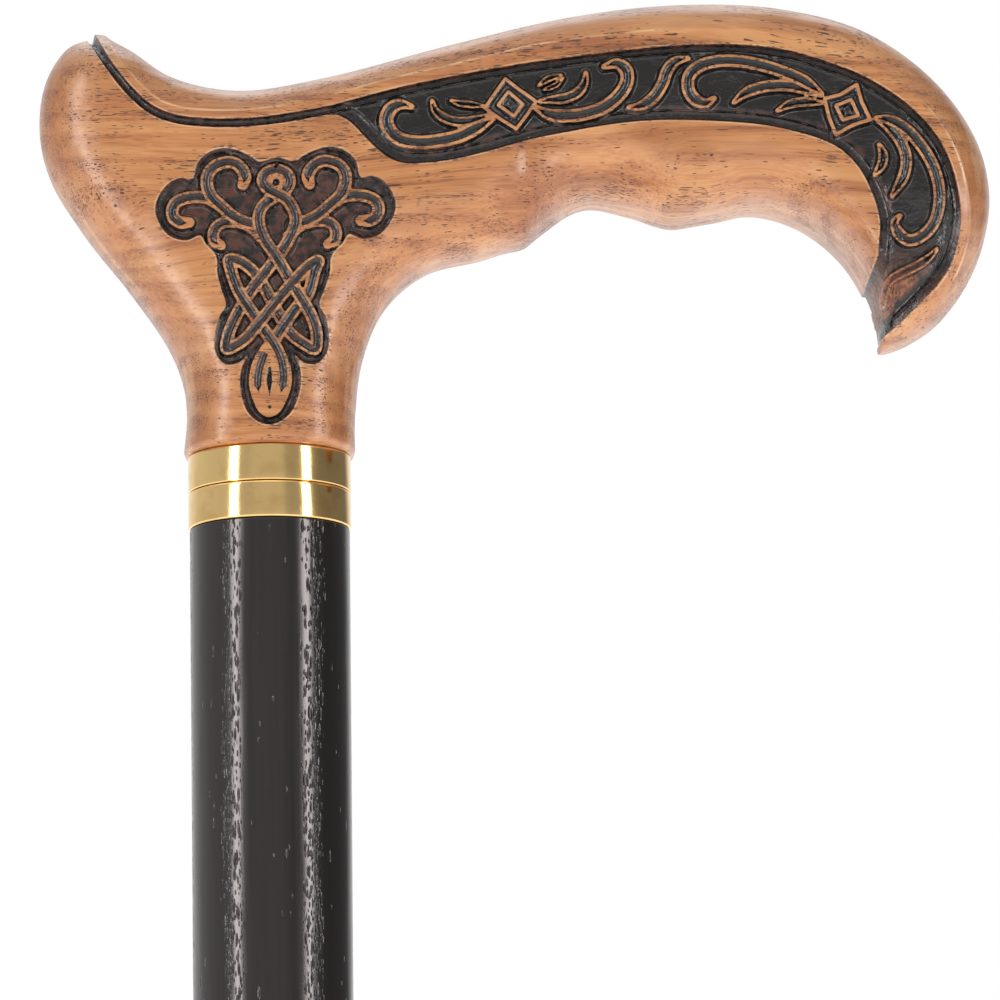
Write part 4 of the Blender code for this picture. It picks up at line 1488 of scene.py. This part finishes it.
        gloss = sheet.adding(fibres, 0.16, self.roughness - 0.08)
        gloss = sheet.adding(pores, 0.3, gloss)
        drop = sheet.times(paint, self.paint_roughness - self.roughness)
        drop = sheet.adding(sheet.times(paint, stain), self.stained_roughness, drop)
        coat = sheet.step(paint, 0.0, 1.0, self.coat, 0.0)
        sheet.dress(shader, {
            "Base Color": sheet.mixed(paint, open_wood, self.painted(grain, stain, lip)),
            "Normal": sheet.bump(rough, 0.16, 0.8, Normal=fine),
            "Roughness": sheet.maths("ADD", gloss, drop),
            "Coat Weight": sheet.times(coat, sheet.adding(pores, -0.8, 1.0)),
            "Coat Roughness": self.coat_roughness,
        })
        return made


@dataclass(frozen=True)
class PolishedBrass:
    """Polished brass with fine lathe lines.

    Attributes:
        pitch: the distance between lines.
        line_gloss: how much rougher they are.
        smudged: the smudge values between which the colour turns to the shade.
        smudge_gloss: how much rougher smudges are.
    """

    name: str = "polished_brass"
    colour: Colour = (0.83, 0.575, 0.245)
    shade: Colour = (0.74, 0.495, 0.195)
    roughness: float = 0.10
    pitch: float = 0.08
    line_depth: float = 0.002
    line_strength: float = 0.4
    line_gloss: float = 0.05
    smudged: Pair = (0.45, 0.70)
    smudge_gloss: float = 0.12

    def material(self) -> Material:
        """Builds the finish.

        Returns:
            The material.
        """
        made, sheet, shader = new_material(self.name)
        polish = sheet.shared("polish_lines", Place=sheet.place(), Pitch=self.pitch)
        lines, smudges = polish["Lines"], polish["Smudges"]
        gloss = sheet.adding(smudges, self.smudge_gloss, self.roughness - self.smudge_gloss / 2)
        sheet.dress(shader, {
            "Base Color": sheet.mixed(sheet.step(smudges, *self.smudged), self.colour, self.shade),
            "Roughness": sheet.adding(lines, self.line_gloss, gloss),
            "Normal": sheet.bump(lines, self.line_depth, self.line_strength),
            "Metallic": 1.0,
        })
        return made


@dataclass(frozen=True)
class TurnedSteel(PolishedBrass):
    """Turned steel with coarser tool lines and a little dullness."""

    name: str = "turned_steel"
    colour: Colour = (0.52, 0.52, 0.54)
    shade: Colour = (0.34, 0.33, 0.33)
    roughness: float = 0.30
    pitch: float = 0.25
    line_depth: float = 0.01
    line_strength: float = 0.5
    line_gloss: float = 0.0
    smudged: Pair = (0.4, 0.7)
    smudge_gloss: float = 0.2


@dataclass(frozen=True)
class DarkLacquer:
    """Black-brown lacquer over open-grained wood whose short pores still show."""

    black: Colour = (0.0042, 0.0034, 0.0030)
    brown: Colour = (0.0075, 0.0054, 0.0044)
    pore: Colour = (0.0020, 0.0017, 0.0016)
    roughness: float = 0.19
    gloss_level: float = 0.80
    gloss_tint: Colour = (1.0, 0.92, 0.90)
    drift_scales: Triple = (0.010, 0.05, 0.05)
    drift_reach: Triple = (0.0, 4.0, 4.0)
    bands: int = 6
    first_band: float = 57.0
    patch_scales: Triple = (0.05, 0.2, 0.2)
    swell_scales: Triple = (0.07, 0.32, 0.32)
    long_pores: PoreKind = PoreKind(2.3, 0.50, 0.46)
    short_pores: PoreKind = PoreKind(1.1, 0.34, 0.44, (2.9, 6.1, 1.7))

    def material(self) -> Material:
        """Builds the finish.

        Returns:
            The material.
        """
        made, sheet, shader = new_material("dark_lacquer")
        parts = sheet.parts(sheet.place())
        upright = sheet.joined(parts["Z"], parts["X"], parts["Y"])
        place = sheet.drifted(upright, self.drift_scales, self.drift_reach)
        fibres = sheet.shared("wood_fibres", Place=place, Length=26.0, Width=0.5)[0]

        around = sheet.parts(place)
        angle = sheet.maths("ARCTAN2", around["Z"], around["Y"])
        turns = sheet.adding(angle, float(self.bands), math.radians(self.first_band) * self.bands)
        band = sheet.step(sheet.maths("COSINE", turns), 0.50, 0.90)
        patchy = sheet.step(sheet.cloud(place, self.patch_scales), 0.30, 0.52, 0.45, 0.95)
        share = sheet.maths("ADD", sheet.times(band, patchy), 0.015)
        long, short = (kind.drawn(sheet, place, share) for kind in (self.long_pores, self.short_pores))
        pores = sheet.most(long["Mask"], short["Mask"])
        pits = sheet.most(long["Depth"], short["Depth"])

        ground = sheet.mixed(sheet.step(fibres, 0.4, 0.65), self.black, self.brown)
        wavy = sheet.bump(sheet.cloud(place, self.swell_scales, 1.0), 0.07, 1.0)
        relief = sheet.adding(fibres, 0.03, sheet.times(pits, -1.0))
        gloss = sheet.adding(fibres, 0.08, self.roughness - 0.04)
        sheet.dress(shader, {
            "Base Color": sheet.mixed(pores, ground, self.pore),
            "Normal": sheet.bump(relief, 0.16, 1.0, Normal=wavy),
            "Roughness": sheet.adding(pores, 0.12, gloss),
            "Specular IOR Level": self.gloss_level,
            "Specular Tint": self.gloss_tint,
        })
        return made


@dataclass(frozen=True)
class MouldedRubber:
    """Matt black rubber with a fine moulded grain and a little floor dust."""

    black: Colour = (0.020, 0.020, 0.021)
    worn: Colour = (0.034, 0.034, 0.033)
    dust: Colour = (0.20, 0.185, 0.165)
    dust_heights: Pair = (5.0, 0.5)
    dust_share: float = 0.4
    roughness: float = 0.62

    def material(self) -> Material:
        """Builds the finish.

        Returns:
            The material.
        """
        made, sheet, shader = new_material("moulded_rubber")
        place = sheet.place()
        blotch = sheet.noise(place, 0.25, 4.0)
        speck = sheet.noise(place, 4.0, 2.0)
        ground = sheet.mixed(sheet.step(blotch, 0.40, 0.8), self.black, self.worn)
        low = sheet.step(sheet.parts(place)["Z"], *self.dust_heights)
        dusty = sheet.times(sheet.times(low, sheet.step(speck, 0.45, 0.62)), self.dust_share)
        sheet.dress(shader, {
            "Base Color": sheet.mixed(dusty, ground, self.dust),
            "Roughness": sheet.adding(blotch, 0.25, self.roughness - 0.1),
            "Normal": sheet.bump(speck, 0.05, 0.5),
        })
        return made


def placed(name: str, data: ID) -> Object:
    """Puts a mesh, a lamp or a camera into the scene.

    Args:
        name: the object's name.
        data: what it shows.

    Returns:
        The object.
    """
    made = bpy.data.objects.new(name, data)
    bpy.context.scene.collection.objects.link(made)
    return made


def finished(name: str, mesh: Mesh, material: Material, sharp: float = 32.0) -> Object:
    """Puts a mesh into the scene as a piece with smooth faces.

    Args:
        name: the piece's name.
        mesh: its shape.
        material: its finish.
        sharp: the angle in degrees from which its edges are sharp.

    Returns:
        The piece.
    """
    mesh.materials.append(material)
    mesh.shade_smooth()
    mesh.set_sharp_from_angle(angle=math.radians(sharp))
    return placed(name, mesh)


def merge_close(mesh: Mesh) -> None:
    """Joins the points of a mesh that lie in one place, and drops faces left without width.

    Args:
        mesh: the mesh, which this changes.
    """
    shape = bmesh.new()
    shape.from_mesh(mesh)
    bmesh.ops.remove_doubles(shape, verts=shape.verts, dist=0.001 * MM)
    bmesh.ops.dissolve_degenerate(shape, edges=shape.edges, dist=0.001 * MM)
    bmesh.ops.recalc_face_normals(shape, faces=shape.faces)
    shape.to_mesh(mesh)
    shape.free()


def turned(name: str, profile: list[Pair], material: Material, steps: int) -> Object:
    """Turns a closed section round the Z axis.

    Args:
        name: the piece's name.
        profile: (radius, height) of the section's corners, in millimetres, down its outer side first.
        material: its finish.
        steps: how many facets go round.

    Returns:
        The piece.
    """
    angles = np.arange(steps) * 2 * math.pi / steps
    rings = [
        np.column_stack([radius * np.cos(angles), radius * np.sin(angles), np.full(steps, height)])
        for radius, height in profile
    ]
    faces = []
    for ring, (radius, _) in enumerate(profile):
        below = (ring + 1) % len(profile)
        if radius == 0.0 and profile[below][0] == 0.0:
            continue
        for i in range(steps):
            j = (i + 1) % steps
            faces.append((ring * steps + i, below * steps + i, below * steps + j, ring * steps + j))
    mesh = bpy.data.meshes.new(name)
    mesh.from_pydata((np.vstack(rings) * MM).tolist(), [], faces)
    merge_close(mesh)
    return finished(name, mesh, material)


def rounded_edge(radius: float, height: float, reach: Pair, steps: int) -> list[Pair]:
    """Rounds an outer edge of a turned section.

    Args:
        radius: the side's radius.
        height: the height of the flat that the side runs into.
        reach: how far the rounding goes inwards, and upwards, which is below 0 at an upper edge.
        steps: how many facets it has.

    Returns:
        Its points, from the highest down.
    """
    turns = [math.radians(90.0 * step / steps) for step in range(steps + 1)]
    inward, rise = reach
    arc = [(radius - inward * (1 - math.cos(t)), height + rise * (1 - math.sin(t))) for t in turns]
    return arc if rise > 0 else arc[::-1]


@dataclass(frozen=True)
class Handle:
    """The carved wooden handle.

    Attributes:
        height: from its seat to its highest point.
        base_rounding: the radius of its lower edge.
        fine_step: the spacing of points in the carving.
        middle_step: the spacing of points next to the carving.
        coarse_step: the spacing of points on plain wood.
    """

    height: float = 61.6
    base_rounding: float = 0.8
    fine_step: float = 0.26
    middle_step: float = 0.5
    coarse_step: float = 1.3
    on_edge: float = 0.02

    def plan(self, form: HandleForm, carving: Carving) -> tuple[Array, int]:
        """Spreads points over the handle's plan.

        Args:
            form: the blank.
            carving: the pattern that the points follow.

        Returns:
            The points, and how many at their start form the closed rim.
        """
        outline = form.outline()
        count = round(2 * form.half_base / form.outline_step)
        across = np.linspace(form.half_base, -form.half_base, count + 1)[1:-1]
        base = np.column_stack([across, np.zeros(count - 1)])
        rim = np.vstack([outline, base])
        loop = np.vstack([rim, rim[:1]])
        fine, middle, coarse = (
            lattice(outline.min(0), outline.max(0), step)
            for step in (self.fine_step, self.middle_step, self.coarse_step)
        )
        foot = np.vstack([base + (0.0, rise * self.base_rounding) for rise in (0.15, 0.35, 0.6, 1.0)])
        rows = thinned(carving.rows(), 0.10)

        # Each layer: its points, how far outside the carving they lie, and their least distance from
        # the points before them and from the rim.
        kept = rim
        for points, reach, gap, rim_gap in (
            (foot, None, 0.05, 0.0),
            (rows, None, 0.10, 0.12),
            (fine, (-math.inf, 0.25), 0.14, 0.12),
            (form.rounding_points(), (0.25, math.inf), 0.07, 0.03),
            (middle, (0.2, 1.8), 0.3, 0.25),
            (coarse, (1.6, math.inf), 0.8, 0.8),
        ):
            points = points[inside(rim, points)]
            if reach:
                outside = carving.reach(points)
                points = points[(outside > reach[0]) & (outside < reach[1])]
            if rim_gap:
                points = points[nearest_on(loop, points)[0] > rim_gap]
            kept = np.vstack([kept, clear_of(points, kept, gap)])
        return kept, len(rim)

    def mesh(self) -> Mesh:
        """Makes the handle's closed mesh, with its paint and stain, standing on its seat at height 0.

        Returns:
            The mesh.
        """
        form = HandleForm()
        carving = Carving()
        points, rim = self.plan(form, carving)
        links = [(i, (i + 1) % rim) for i in range(rim)]
        flat = delaunay_2d_cdt([tuple(p) for p in points], links, [], 1, 1e-5)
        plan = np.array([tuple(p) for p in flat[0]])
        faces = np.array(flat[2])
        log.info("handle plan: %d points, %d facets a side", len(plan), len(faces))

        half = form.half_thickness(plan)
        front = np.column_stack([plan[:, 0], -half, plan[:, 1]])
        on_rim = half < self.on_edge
        own = np.arange(len(plan))
        other = np.where(on_rim, own, own + len(plan))
        corners = np.vstack([faces, other[faces][:, ::-1], self.foot_faces(plan, other)])
        mesh = bpy.data.meshes.new("handle")
        mesh.from_pydata(self.both_sides(front).tolist(), [], corners.tolist())

        normals = np.array([tuple(v.vector) for v in mesh.vertex_normals])[: len(plan)]
        if normals[:, 1].mean() > 0:
            mesh.flip_normals()
            normals = -normals
        normals[on_rim, 1] = 0.0
        normals[plan[:, 1] < 1e-6, 2] = 0.0
        normals /= np.maximum(np.linalg.norm(normals, axis=1), 1e-9)[:, None]
        cut = carving.cut(plan)
        front = self.rounded_foot(front - normals * (cut.depth - carving.form(plan))[:, None])
        mesh.vertices.foreach_set("co", (self.both_sides(front) * MM).ravel())
        for label in ("paint", "stain", "shore", "aside", "crease", "flush"):
            attribute = mesh.attributes.new(label, "FLOAT", "POINT")
            attribute.data.foreach_set("value", np.tile(getattr(cut, label), 2))
        mesh.update()
        self.lay_out(mesh, form.spread_flat(plan, half), len(faces))
        merge_close(mesh)
        return mesh

    @staticmethod
    def both_sides(front: Array) -> Array:
        """The points of the side to -Y, and then their mirror images."""
        return np.vstack([front, front * (1.0, -1.0, 1.0)])

    @staticmethod
    def lay_out(mesh: Mesh, flat: Array, side_faces: int) -> None:
        """Gives the mesh its own map: one side above the other, and the foot in a corner between them.

        Args:
            mesh: the mesh, which this changes.
            flat: where the points of one side lie in the flat layout.
            side_faces: how many faces a side has.
        """
        low, high = flat.min(0), flat.max(0)
        size = float(high[0] - low[0]) + 2.0
        vertex = np.empty(len(mesh.loops), int)
        mesh.loops.foreach_get("vertex_index", vertex)
        places = np.empty(len(mesh.vertices) * 3)
        mesh.vertices.foreach_get("co", places)
        under = places.reshape(-1, 3)[vertex][:, :2] / MM * 0.5 + (low[0] + 100.0, low[1] + 8.0)
        side = flat[vertex % len(flat)]
        face = (np.arange(len(vertex)) // 3)[:, None]
        rise = float(high[1] - low[1]) + 1.0
        places = np.where(face < side_faces, side, side + (0.0, rise))
        places = np.where(face < 2 * side_faces, places, under)
        places = (places - low + 1.0) / max(size, 2 * rise + 1.0)
        mesh.uv_layers.new(name="OFBake").uv.foreach_set("vector", places.ravel())

    @staticmethod
    def foot_faces(plan: Array, other: Array) -> Array:
        """Closes the straight foot between the handle's two sides.

        Args:
            plan: the plan's points.
            other: the number of each point's mirror image, or its own on the rim.

        Returns:
            The triangles.
        """
        row = np.flatnonzero(plan[:, 1] < 1e-6)
        row = row[np.argsort(plan[row, 0])]
        faces = []
        for first, second in zip(row[:-1], row[1:]):
            if other[first] != first:
                faces.append((first, second, other[first]))
            if other[second] != second:
                faces.append((second, other[second], other[first]))
        return np.array(faces)

    def rounded_foot(self, places: Array) -> Array:
        """Draws the lowest points in towards the axis, so that the lower edge is round.

        Args:
            places: the points of one side, which this changes.

        Returns:
            The same points.
        """
        left = np.clip(1 - places[:, 2] / self.base_rounding, 0.0, 1.0)
        inward = self.base_rounding * (1 - np.sqrt(1 - left * left))
        radius = np.maximum(np.linalg.norm(places[:, :2], axis=1), 1e-6)
        edge = np.clip((radius - 8.0) / 3.0, 0.0, 1.0)
        places[:, :2] *= (1 - inward * edge / radius)[:, None]
        return places

    def build(self, wood: Material) -> list[Object]:
        """Builds the handle where the CAD handle is.

        Args:
            wood: its finish.

        Returns:
            The piece.
        """
        piece = finished("carved_handle", self.mesh(), wood, 40.0)
        piece.location.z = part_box("handle")[1].z - self.height * MM
        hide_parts("handle")
        return [piece]


@dataclass(frozen=True)
class Collar:
    """The two brass rings with the V groove between them.

    Attributes:
        seam_bevels: the rounding at the groove, of the upper and the lower ring.
        outer_bevel: the rounding at their other ends.
        seam_reach: how far each ring reaches past its CAD ring at the groove.
        end_reach: how far it does at the other end.
    """

    wall: float = 1.7
    seam_bevels: Pair = (0.18, 0.38)
    outer_bevel: float = 0.25
    bevel_steps: int = 4
    seam_reach: float = 0.13
    end_reach: float = 0.28
    facets: int = 192

    def build(self, brass: Material) -> list[Object]:
        """Builds both rings where the CAD rings are.

        Args:
            brass: their finish.

        Returns:
            The upper and the lower ring.
        """
        made = []
        for node, bevels, reaches in (
            ("collar_upper_ring", (self.outer_bevel, self.seam_bevels[0]), (self.end_reach, self.seam_reach)),
            ("collar_lower_ring", (self.seam_bevels[1], self.outer_bevel), (self.seam_reach, self.end_reach)),
        ):
            low, high = (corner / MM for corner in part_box(node))
            top, foot, bore = high.z + reaches[0], low.z - reaches[1], high.x - self.wall
            section = [
                (bore, top),
                *rounded_edge(high.x, top, (bevels[0], -bevels[0]), self.bevel_steps),
                *rounded_edge(high.x, foot, (bevels[1], bevels[1]), self.bevel_steps),
                (bore, foot),
            ]
            ring = turned(f"brass_{node}", section, brass, self.facets)
            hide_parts(node)
            made.append(ring)
        return made


@dataclass(frozen=True)
class Shaft:
    """The lacquered stick, a little tapered, with a spigot and the stud's hole at its top."""

    shoulder_radius: float = 10.8
    foot_radius: float = 9.0
    spigot_radius: float = 9.0
    hole_radius: float = 4.3
    hole_depth: float = 37.0
    spigot_height: float = 4.85
    edge_rounding: float = 0.25
    edge_steps: int = 4
    steps_along: int = 60
    facets: int = 160

    def build(self, lacquer: Material) -> list[Object]:
        """Builds the stick where the CAD shaft is.

        Args:
            lacquer: its finish.

        Returns:
            The piece.
        """
        low, high = (corner.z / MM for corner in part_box("shaft"))
        rounding, shoulder = self.edge_rounding, high - self.spigot_height
        top, taper = shoulder - rounding, self.foot_radius - self.shoulder_radius
        section = [
            (0.0, high - self.hole_depth), (self.hole_radius, high - self.hole_depth),
            (self.hole_radius, high), (self.spigot_radius, high), (self.spigot_radius, shoulder),
            *rounded_edge(self.shoulder_radius, shoulder, (rounding, -rounding), self.edge_steps),
        ]
        for step in range(1, self.steps_along):
            share = step / self.steps_along
            section.append((self.shoulder_radius + taper * share, top + (low + rounding - top) * share))
        section += rounded_edge(self.foot_radius, low, (rounding, rounding), self.edge_steps)
        section.append((0.0, low))
        stick = turned("lacquered_shaft", section, lacquer, self.facets)
        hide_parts("shaft")
        return [stick]


@dataclass(frozen=True)
class RubberTip:
    """The ribbed rubber foot.

    Attributes:
        floor: how high the floor of the shaft's hole lies.
        flare_height: where the foot begins to widen, down to the sole's height.
        tread_radii: where the rings in the sole begin and end, from the outside in.
    """

    mouth_radius: float = 13.0
    socket_radius: float = 9.27
    floor: float = 10.0
    rib_count: int = 4
    rib_height: float = 0.9
    rib_steps: int = 16
    flare_height: float = 20.0
    flare_steps: int = 18
    sole_height: float = 5.0
    edge_rounding: float = 1.2
    edge_steps: int = 5
    tread_depth: float = 1.5
    tread_radii: tuple[float, ...] = (15.0, 14.6, 13.2, 12.87, 11.1, 10.7, 9.3, 8.93, 7.2, 6.8, 5.4, 5.0)
    facets: int = 160

    def outside(self, foot: float, high: float) -> list[Pair]:
        """Draws the outside from the rounded mouth over the ribs and the flare to the sole's edge.

        Args:
            foot: the sole's radius.
            high: the mouth's height.

        Returns:
            The section's points.
        """
        rounding, mouth = self.edge_rounding, self.mouth_radius
        section = rounded_edge(mouth, high, (rounding, -rounding), self.edge_steps)
        top = high - 2 * rounding
        samples = self.rib_steps * self.rib_count
        for sample in range(samples + 1):
            share = sample / samples
            dent = 0.5 - 0.5 * math.cos(2 * math.pi * share * self.rib_count)
            height = top + (self.flare_height - top) * share
            section.append((mouth - self.rib_height * dent**1.6, height))
        flare = (mouth - foot, self.flare_height - self.sole_height)
        section += rounded_edge(mouth, self.sole_height, flare, self.flare_steps)[1:]
        return section + rounded_edge(foot, 0.0, (rounding, rounding), self.edge_steps)

    def build(self, rubber: Material) -> list[Object]:
        """Builds the foot where the CAD tip is.

        Args:
            rubber: its finish.

        Returns:
            The piece.
        """
        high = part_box("rubber_tip")[1] / MM
        section = [(self.socket_radius, high.z), *self.outside(high.x, high.z)]
        for number, radius in enumerate(self.tread_radii, 1):
            section.append((radius, self.tread_depth if number % 4 in (2, 3) else 0.0))
        section += [(0.0, 0.0), (0.0, self.floor), (self.socket_radius, self.floor)]
        tip = turned("ribbed_rubber_tip", section, rubber, self.facets)
        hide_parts("rubber_tip")
        return [tip]


@dataclass(frozen=True)
class HiddenFittings:
    """The insert, the stud and the washer, whose CAD shapes stay and get their finishes here."""

    insert_roughness: float = 0.28
    washer_roughness: float = 0.36

    def build(self) -> None:
        """Dresses the three CAD nodes."""
        for node, finish in (
            ("handle_insert", PolishedBrass("insert_brass", roughness=self.insert_roughness)),
            ("stud", TurnedSteel("stud_steel")),
            ("tip_washer", TurnedSteel("washer_steel", roughness=self.washer_roughness)),
        ):
            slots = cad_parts[node].data.materials
            slots.clear()
            slots.append(finish.material())


@dataclass(frozen=True)
class Studio:
    """The floor, the surround, the two strip lamps and the camera.

    Attributes:
        aim: the point of the handle that the camera is set up on: across, to the back, above the seat.
        aim_pixel: where that point falls in a picture that is picture_size points wide and high.
        scale: millimetres to a point of the picture at that point.
        distance: from the camera to that point.
        elevation: the camera's angle above the horizon, so it looks up a little.
        roll: how far the picture is turned.
        ambient: the surround's light on matt surfaces, as a share of what gloss shows.
        left_shade: how much of that comes from the left and the back.
        levels: (angle round the cane, brightness in gloss) of the surround, from the back by the left.
        floor_glow: the floor's light on matt surfaces.
        floor_shine: how bright it shows in gloss.
        floor_clear: how much of what is under it the camera sees, so the tip still shows pulled off.
        strip_angles: where the strip lamps stand, round the cane from the camera.
        strip_light: their radiance in gloss.
        strip_matt_share: how much of it lights matt surfaces, from a lamp of its own.
        strip_gap: how far the lamps that only show in gloss stand behind those.
        overhead_rise: the sines of the elevations between which the overhead glow grows.
        overhead_light: how much brighter than the sides it is in reflections.
    """

    aim: Triple = (31.38, 0.0, -6.15)
    aim_pixel: Pair = (501.9, 500.5)
    picture_size: int = 1000
    scale: float = 0.1352
    distance: float = 842.9
    azimuth: float = -0.0293
    elevation: float = -0.1865
    roll: float = 0.0145
    sensor: float = 36.0
    ambient: float = 0.62
    left_shade: float = 0.50
    levels: Route = (
        (-180, 1.1), (-150, 1.0), (-120, 0.74), (-64, 0.61), (-56, 0.50), (-44, 0.49), (-30, 0.53),
        (-20, 0.61), (18, 0.61), (26, 0.42), (46, 0.34), (60, 0.30), (75, 0.21), (136, 0.21),
        (154, 1.0), (179, 1.1),
    )
    floor_colour: Colour = (0.86, 0.86, 0.86)
    floor_size: float = 40.0
    floor_glow: float = 1.45
    floor_shine: float = 1.4
    floor_clear: float = 0.65
    strip_angles: Pair = (-50.8, 54.2)
    strip_distance: float = 1.5
    strip_width: float = 0.29
    strip_height: float = 1.7
    strip_light: float = 9.2
    strip_matt_share: float = 0.26
    strip_gap: float = 0.01
    overhead_rise: Pair = (0.55, 0.85)
    overhead_light: float = 1.6

    def camera(self, seat: float) -> None:
        """Sets the camera at the photograph's viewing angle.

        Args:
            seat: the height of the handle's seat, in metres.
        """
        a, e = self.azimuth, self.elevation
        back = Vector((math.sin(a) * math.cos(e), -math.cos(a) * math.cos(e), math.sin(e)))
        right = Vector((math.cos(a), math.sin(a), 0.0))
        up = back.cross(right)
        turned_right = right * math.cos(self.roll) - up * math.sin(self.roll)
        turned_up = up * math.cos(self.roll) + right * math.sin(self.roll)
        camera = placed("camera", bpy.data.cameras.new("camera"))
        matrix = Matrix((turned_right, turned_up, back)).transposed().to_4x4()
        matrix.translation = Vector(self.aim) * MM + Vector((0.0, 0.0, seat)) + back * self.distance * MM
        camera.matrix_world = matrix
        camera.data.sensor_width = self.sensor
        camera.data.lens = self.sensor * self.distance / (self.picture_size * self.scale)
        camera.data.shift_x = 0.5 - self.aim_pixel[0] / self.picture_size
        camera.data.shift_y = self.aim_pixel[1] / self.picture_size - 0.5
        bpy.context.scene.camera = camera

    def surround(self) -> None:
        """Sets up a white surround that lights the cane from all sides and shows in its gloss."""
        world = bpy.data.worlds.new("studio")
        bpy.context.scene.world = world
        world.use_nodes = True
        sheet = NodeSheet(world.node_tree)
        path = sheet.add("LightPath").outputs
        seen = sheet.most(path["Is Camera Ray"], path["Is Transmission Ray"])
        way = sheet.parts(sheet.add("TexCoord").outputs["Generated"])
        angle = sheet.maths("ARCTAN2", way["X"], sheet.times(way["Y"], -1.0))
        ramp = sheet.add("ValToRGB", {0: sheet.adding(angle, 0.5 / math.pi, 0.5)})
        marks = ramp.color_ramp.elements
        while len(marks) < len(self.levels):
            marks.new(0.5)
        for mark, (degrees, level) in zip(marks, self.levels):
            mark.position = 0.5 + degrees / 360
            mark.color = (level, level, level, 1.0)
        overhead = sheet.step(way["Z"], *self.overhead_rise, 0.0, self.overhead_light)
        mirrored = sheet.vector("SCALE", ramp.outputs[0], Scale=sheet.maths("ADD", overhead, 1.0))
        share = sheet.step(way["X"], -0.6, 0.2, self.left_shade * self.ambient, self.ambient)
        soft = sheet.vector("SCALE", mirrored, Scale=share)
        glossy = sheet.mixed(path["Is Glossy Ray"], soft, mirrored)
        colour = sheet.mixed(seen, glossy, (1.0, 1.0, 1.0))
        sheet.dress(world.node_tree.nodes["Background"], {"Color": colour})

    def lamps(self, seat: float) -> None:
        """Stands two tall strips, of two lamps each, in front of the cane to its left and right.

        Args:
            seat: the height of the handle's seat, in metres.
        """
        for degrees, lights_all in itertools.product(self.strip_angles, (True, False)):
            label = f"strip_{degrees:.0f}_{'all' if lights_all else 'gloss'}"
            share = self.strip_matt_share if lights_all else 1.0 - self.strip_matt_share
            distance = self.strip_distance if lights_all else self.strip_distance + self.strip_gap
            turn = math.radians(degrees)
            data = bpy.data.lights.new(label, "AREA")
            data.shape = "RECTANGLE"
            data.size = self.strip_width
            data.size_y = self.strip_height
            data.energy = math.pi * self.strip_light * share * self.strip_width * self.strip_height
            lamp = placed(label, data)
            rise = self.strip_distance * math.tan(-self.elevation)
            away = Vector((math.sin(turn), -math.cos(turn), 0.0)) * distance
            lamp.location = Vector((0.0, 0.0, seat + rise)) + away
            lamp.rotation_euler = (math.radians(90.0), 0.0, turn)
            lamp.visible_camera = False
            lamp.visible_diffuse = lights_all

    def floor(self) -> None:
        """Lays a wide pale floor under the tip, through which the camera sees what is below it."""
        half = self.floor_size / 2
        mesh = bpy.data.meshes.new("floor")
        corners = [(-half, -half, 0.0), (half, -half, 0.0), (half, half, 0.0), (-half, half, 0.0)]
        mesh.from_pydata(corners, [], [(0, 1, 2, 3)])
        material, sheet, shader = new_material("pale_floor")
        sheet.dress(shader, {"Base Color": self.floor_colour, "Roughness": 0.9})
        path = sheet.add("LightPath").outputs
        mirrored, scattered = path["Is Glossy Ray"], path["Is Diffuse Ray"]
        level = sheet.adding(mirrored, self.floor_shine - 1.0, 1.0)
        level = sheet.adding(scattered, self.floor_glow - 1.0, level)
        white = sheet.add("Emission", {"Color": (1.0, 1.0, 1.0), "Strength": level}).outputs[0]
        bright = sheet.most(mirrored, scattered)
        lit = sheet.add("MixShader", {0: bright, 1: shader.outputs[0], 2: white}).outputs[0]
        through = sheet.add("BsdfTransparent").outputs[0]
        clear = sheet.times(path["Is Camera Ray"], self.floor_clear)
        veil = sheet.add("MixShader", {0: clear, 1: lit, 2: through}).outputs[0]
        sheet.dress(material.node_tree.nodes["Material Output"], {"Surface": veil})
        mesh.materials.append(material)
        placed("floor", mesh)

    def build(self) -> None:
        """Sets up the whole studio."""
        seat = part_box("handle")[1].z - Handle().height * MM
        self.camera(seat)
        self.surround()
        self.lamps(seat)
        self.floor()
        bpy.context.scene.view_settings.view_transform = "Standard"


def main() -> None:
    """Builds the cane's pieces in order and sets the studio up round them."""
    logging.basicConfig(level=logging.INFO, format="%(name)s: %(message)s")
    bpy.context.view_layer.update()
    wood = CarvedWood().material()
    for body, slot, pieces in (
        (CANE_BODY, "handle_wood", Handle().build(wood)),
        (CANE_BODY, "collar_brass", Collar().build(PolishedBrass().material())),
        (CANE_BODY, "shaft_lacquer", Shaft().build(DarkLacquer().material())),
        (TIP_BODY, "tip_rubber", RubberTip().build(MouldedRubber().material())),
    ):
        for piece in pieces:
            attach(piece, body)
            log.info("%s: %d points", piece.name, len(piece.data.vertices))
    HiddenFittings().build()
    Studio().build()


if __name__ == "__main__":
    main()
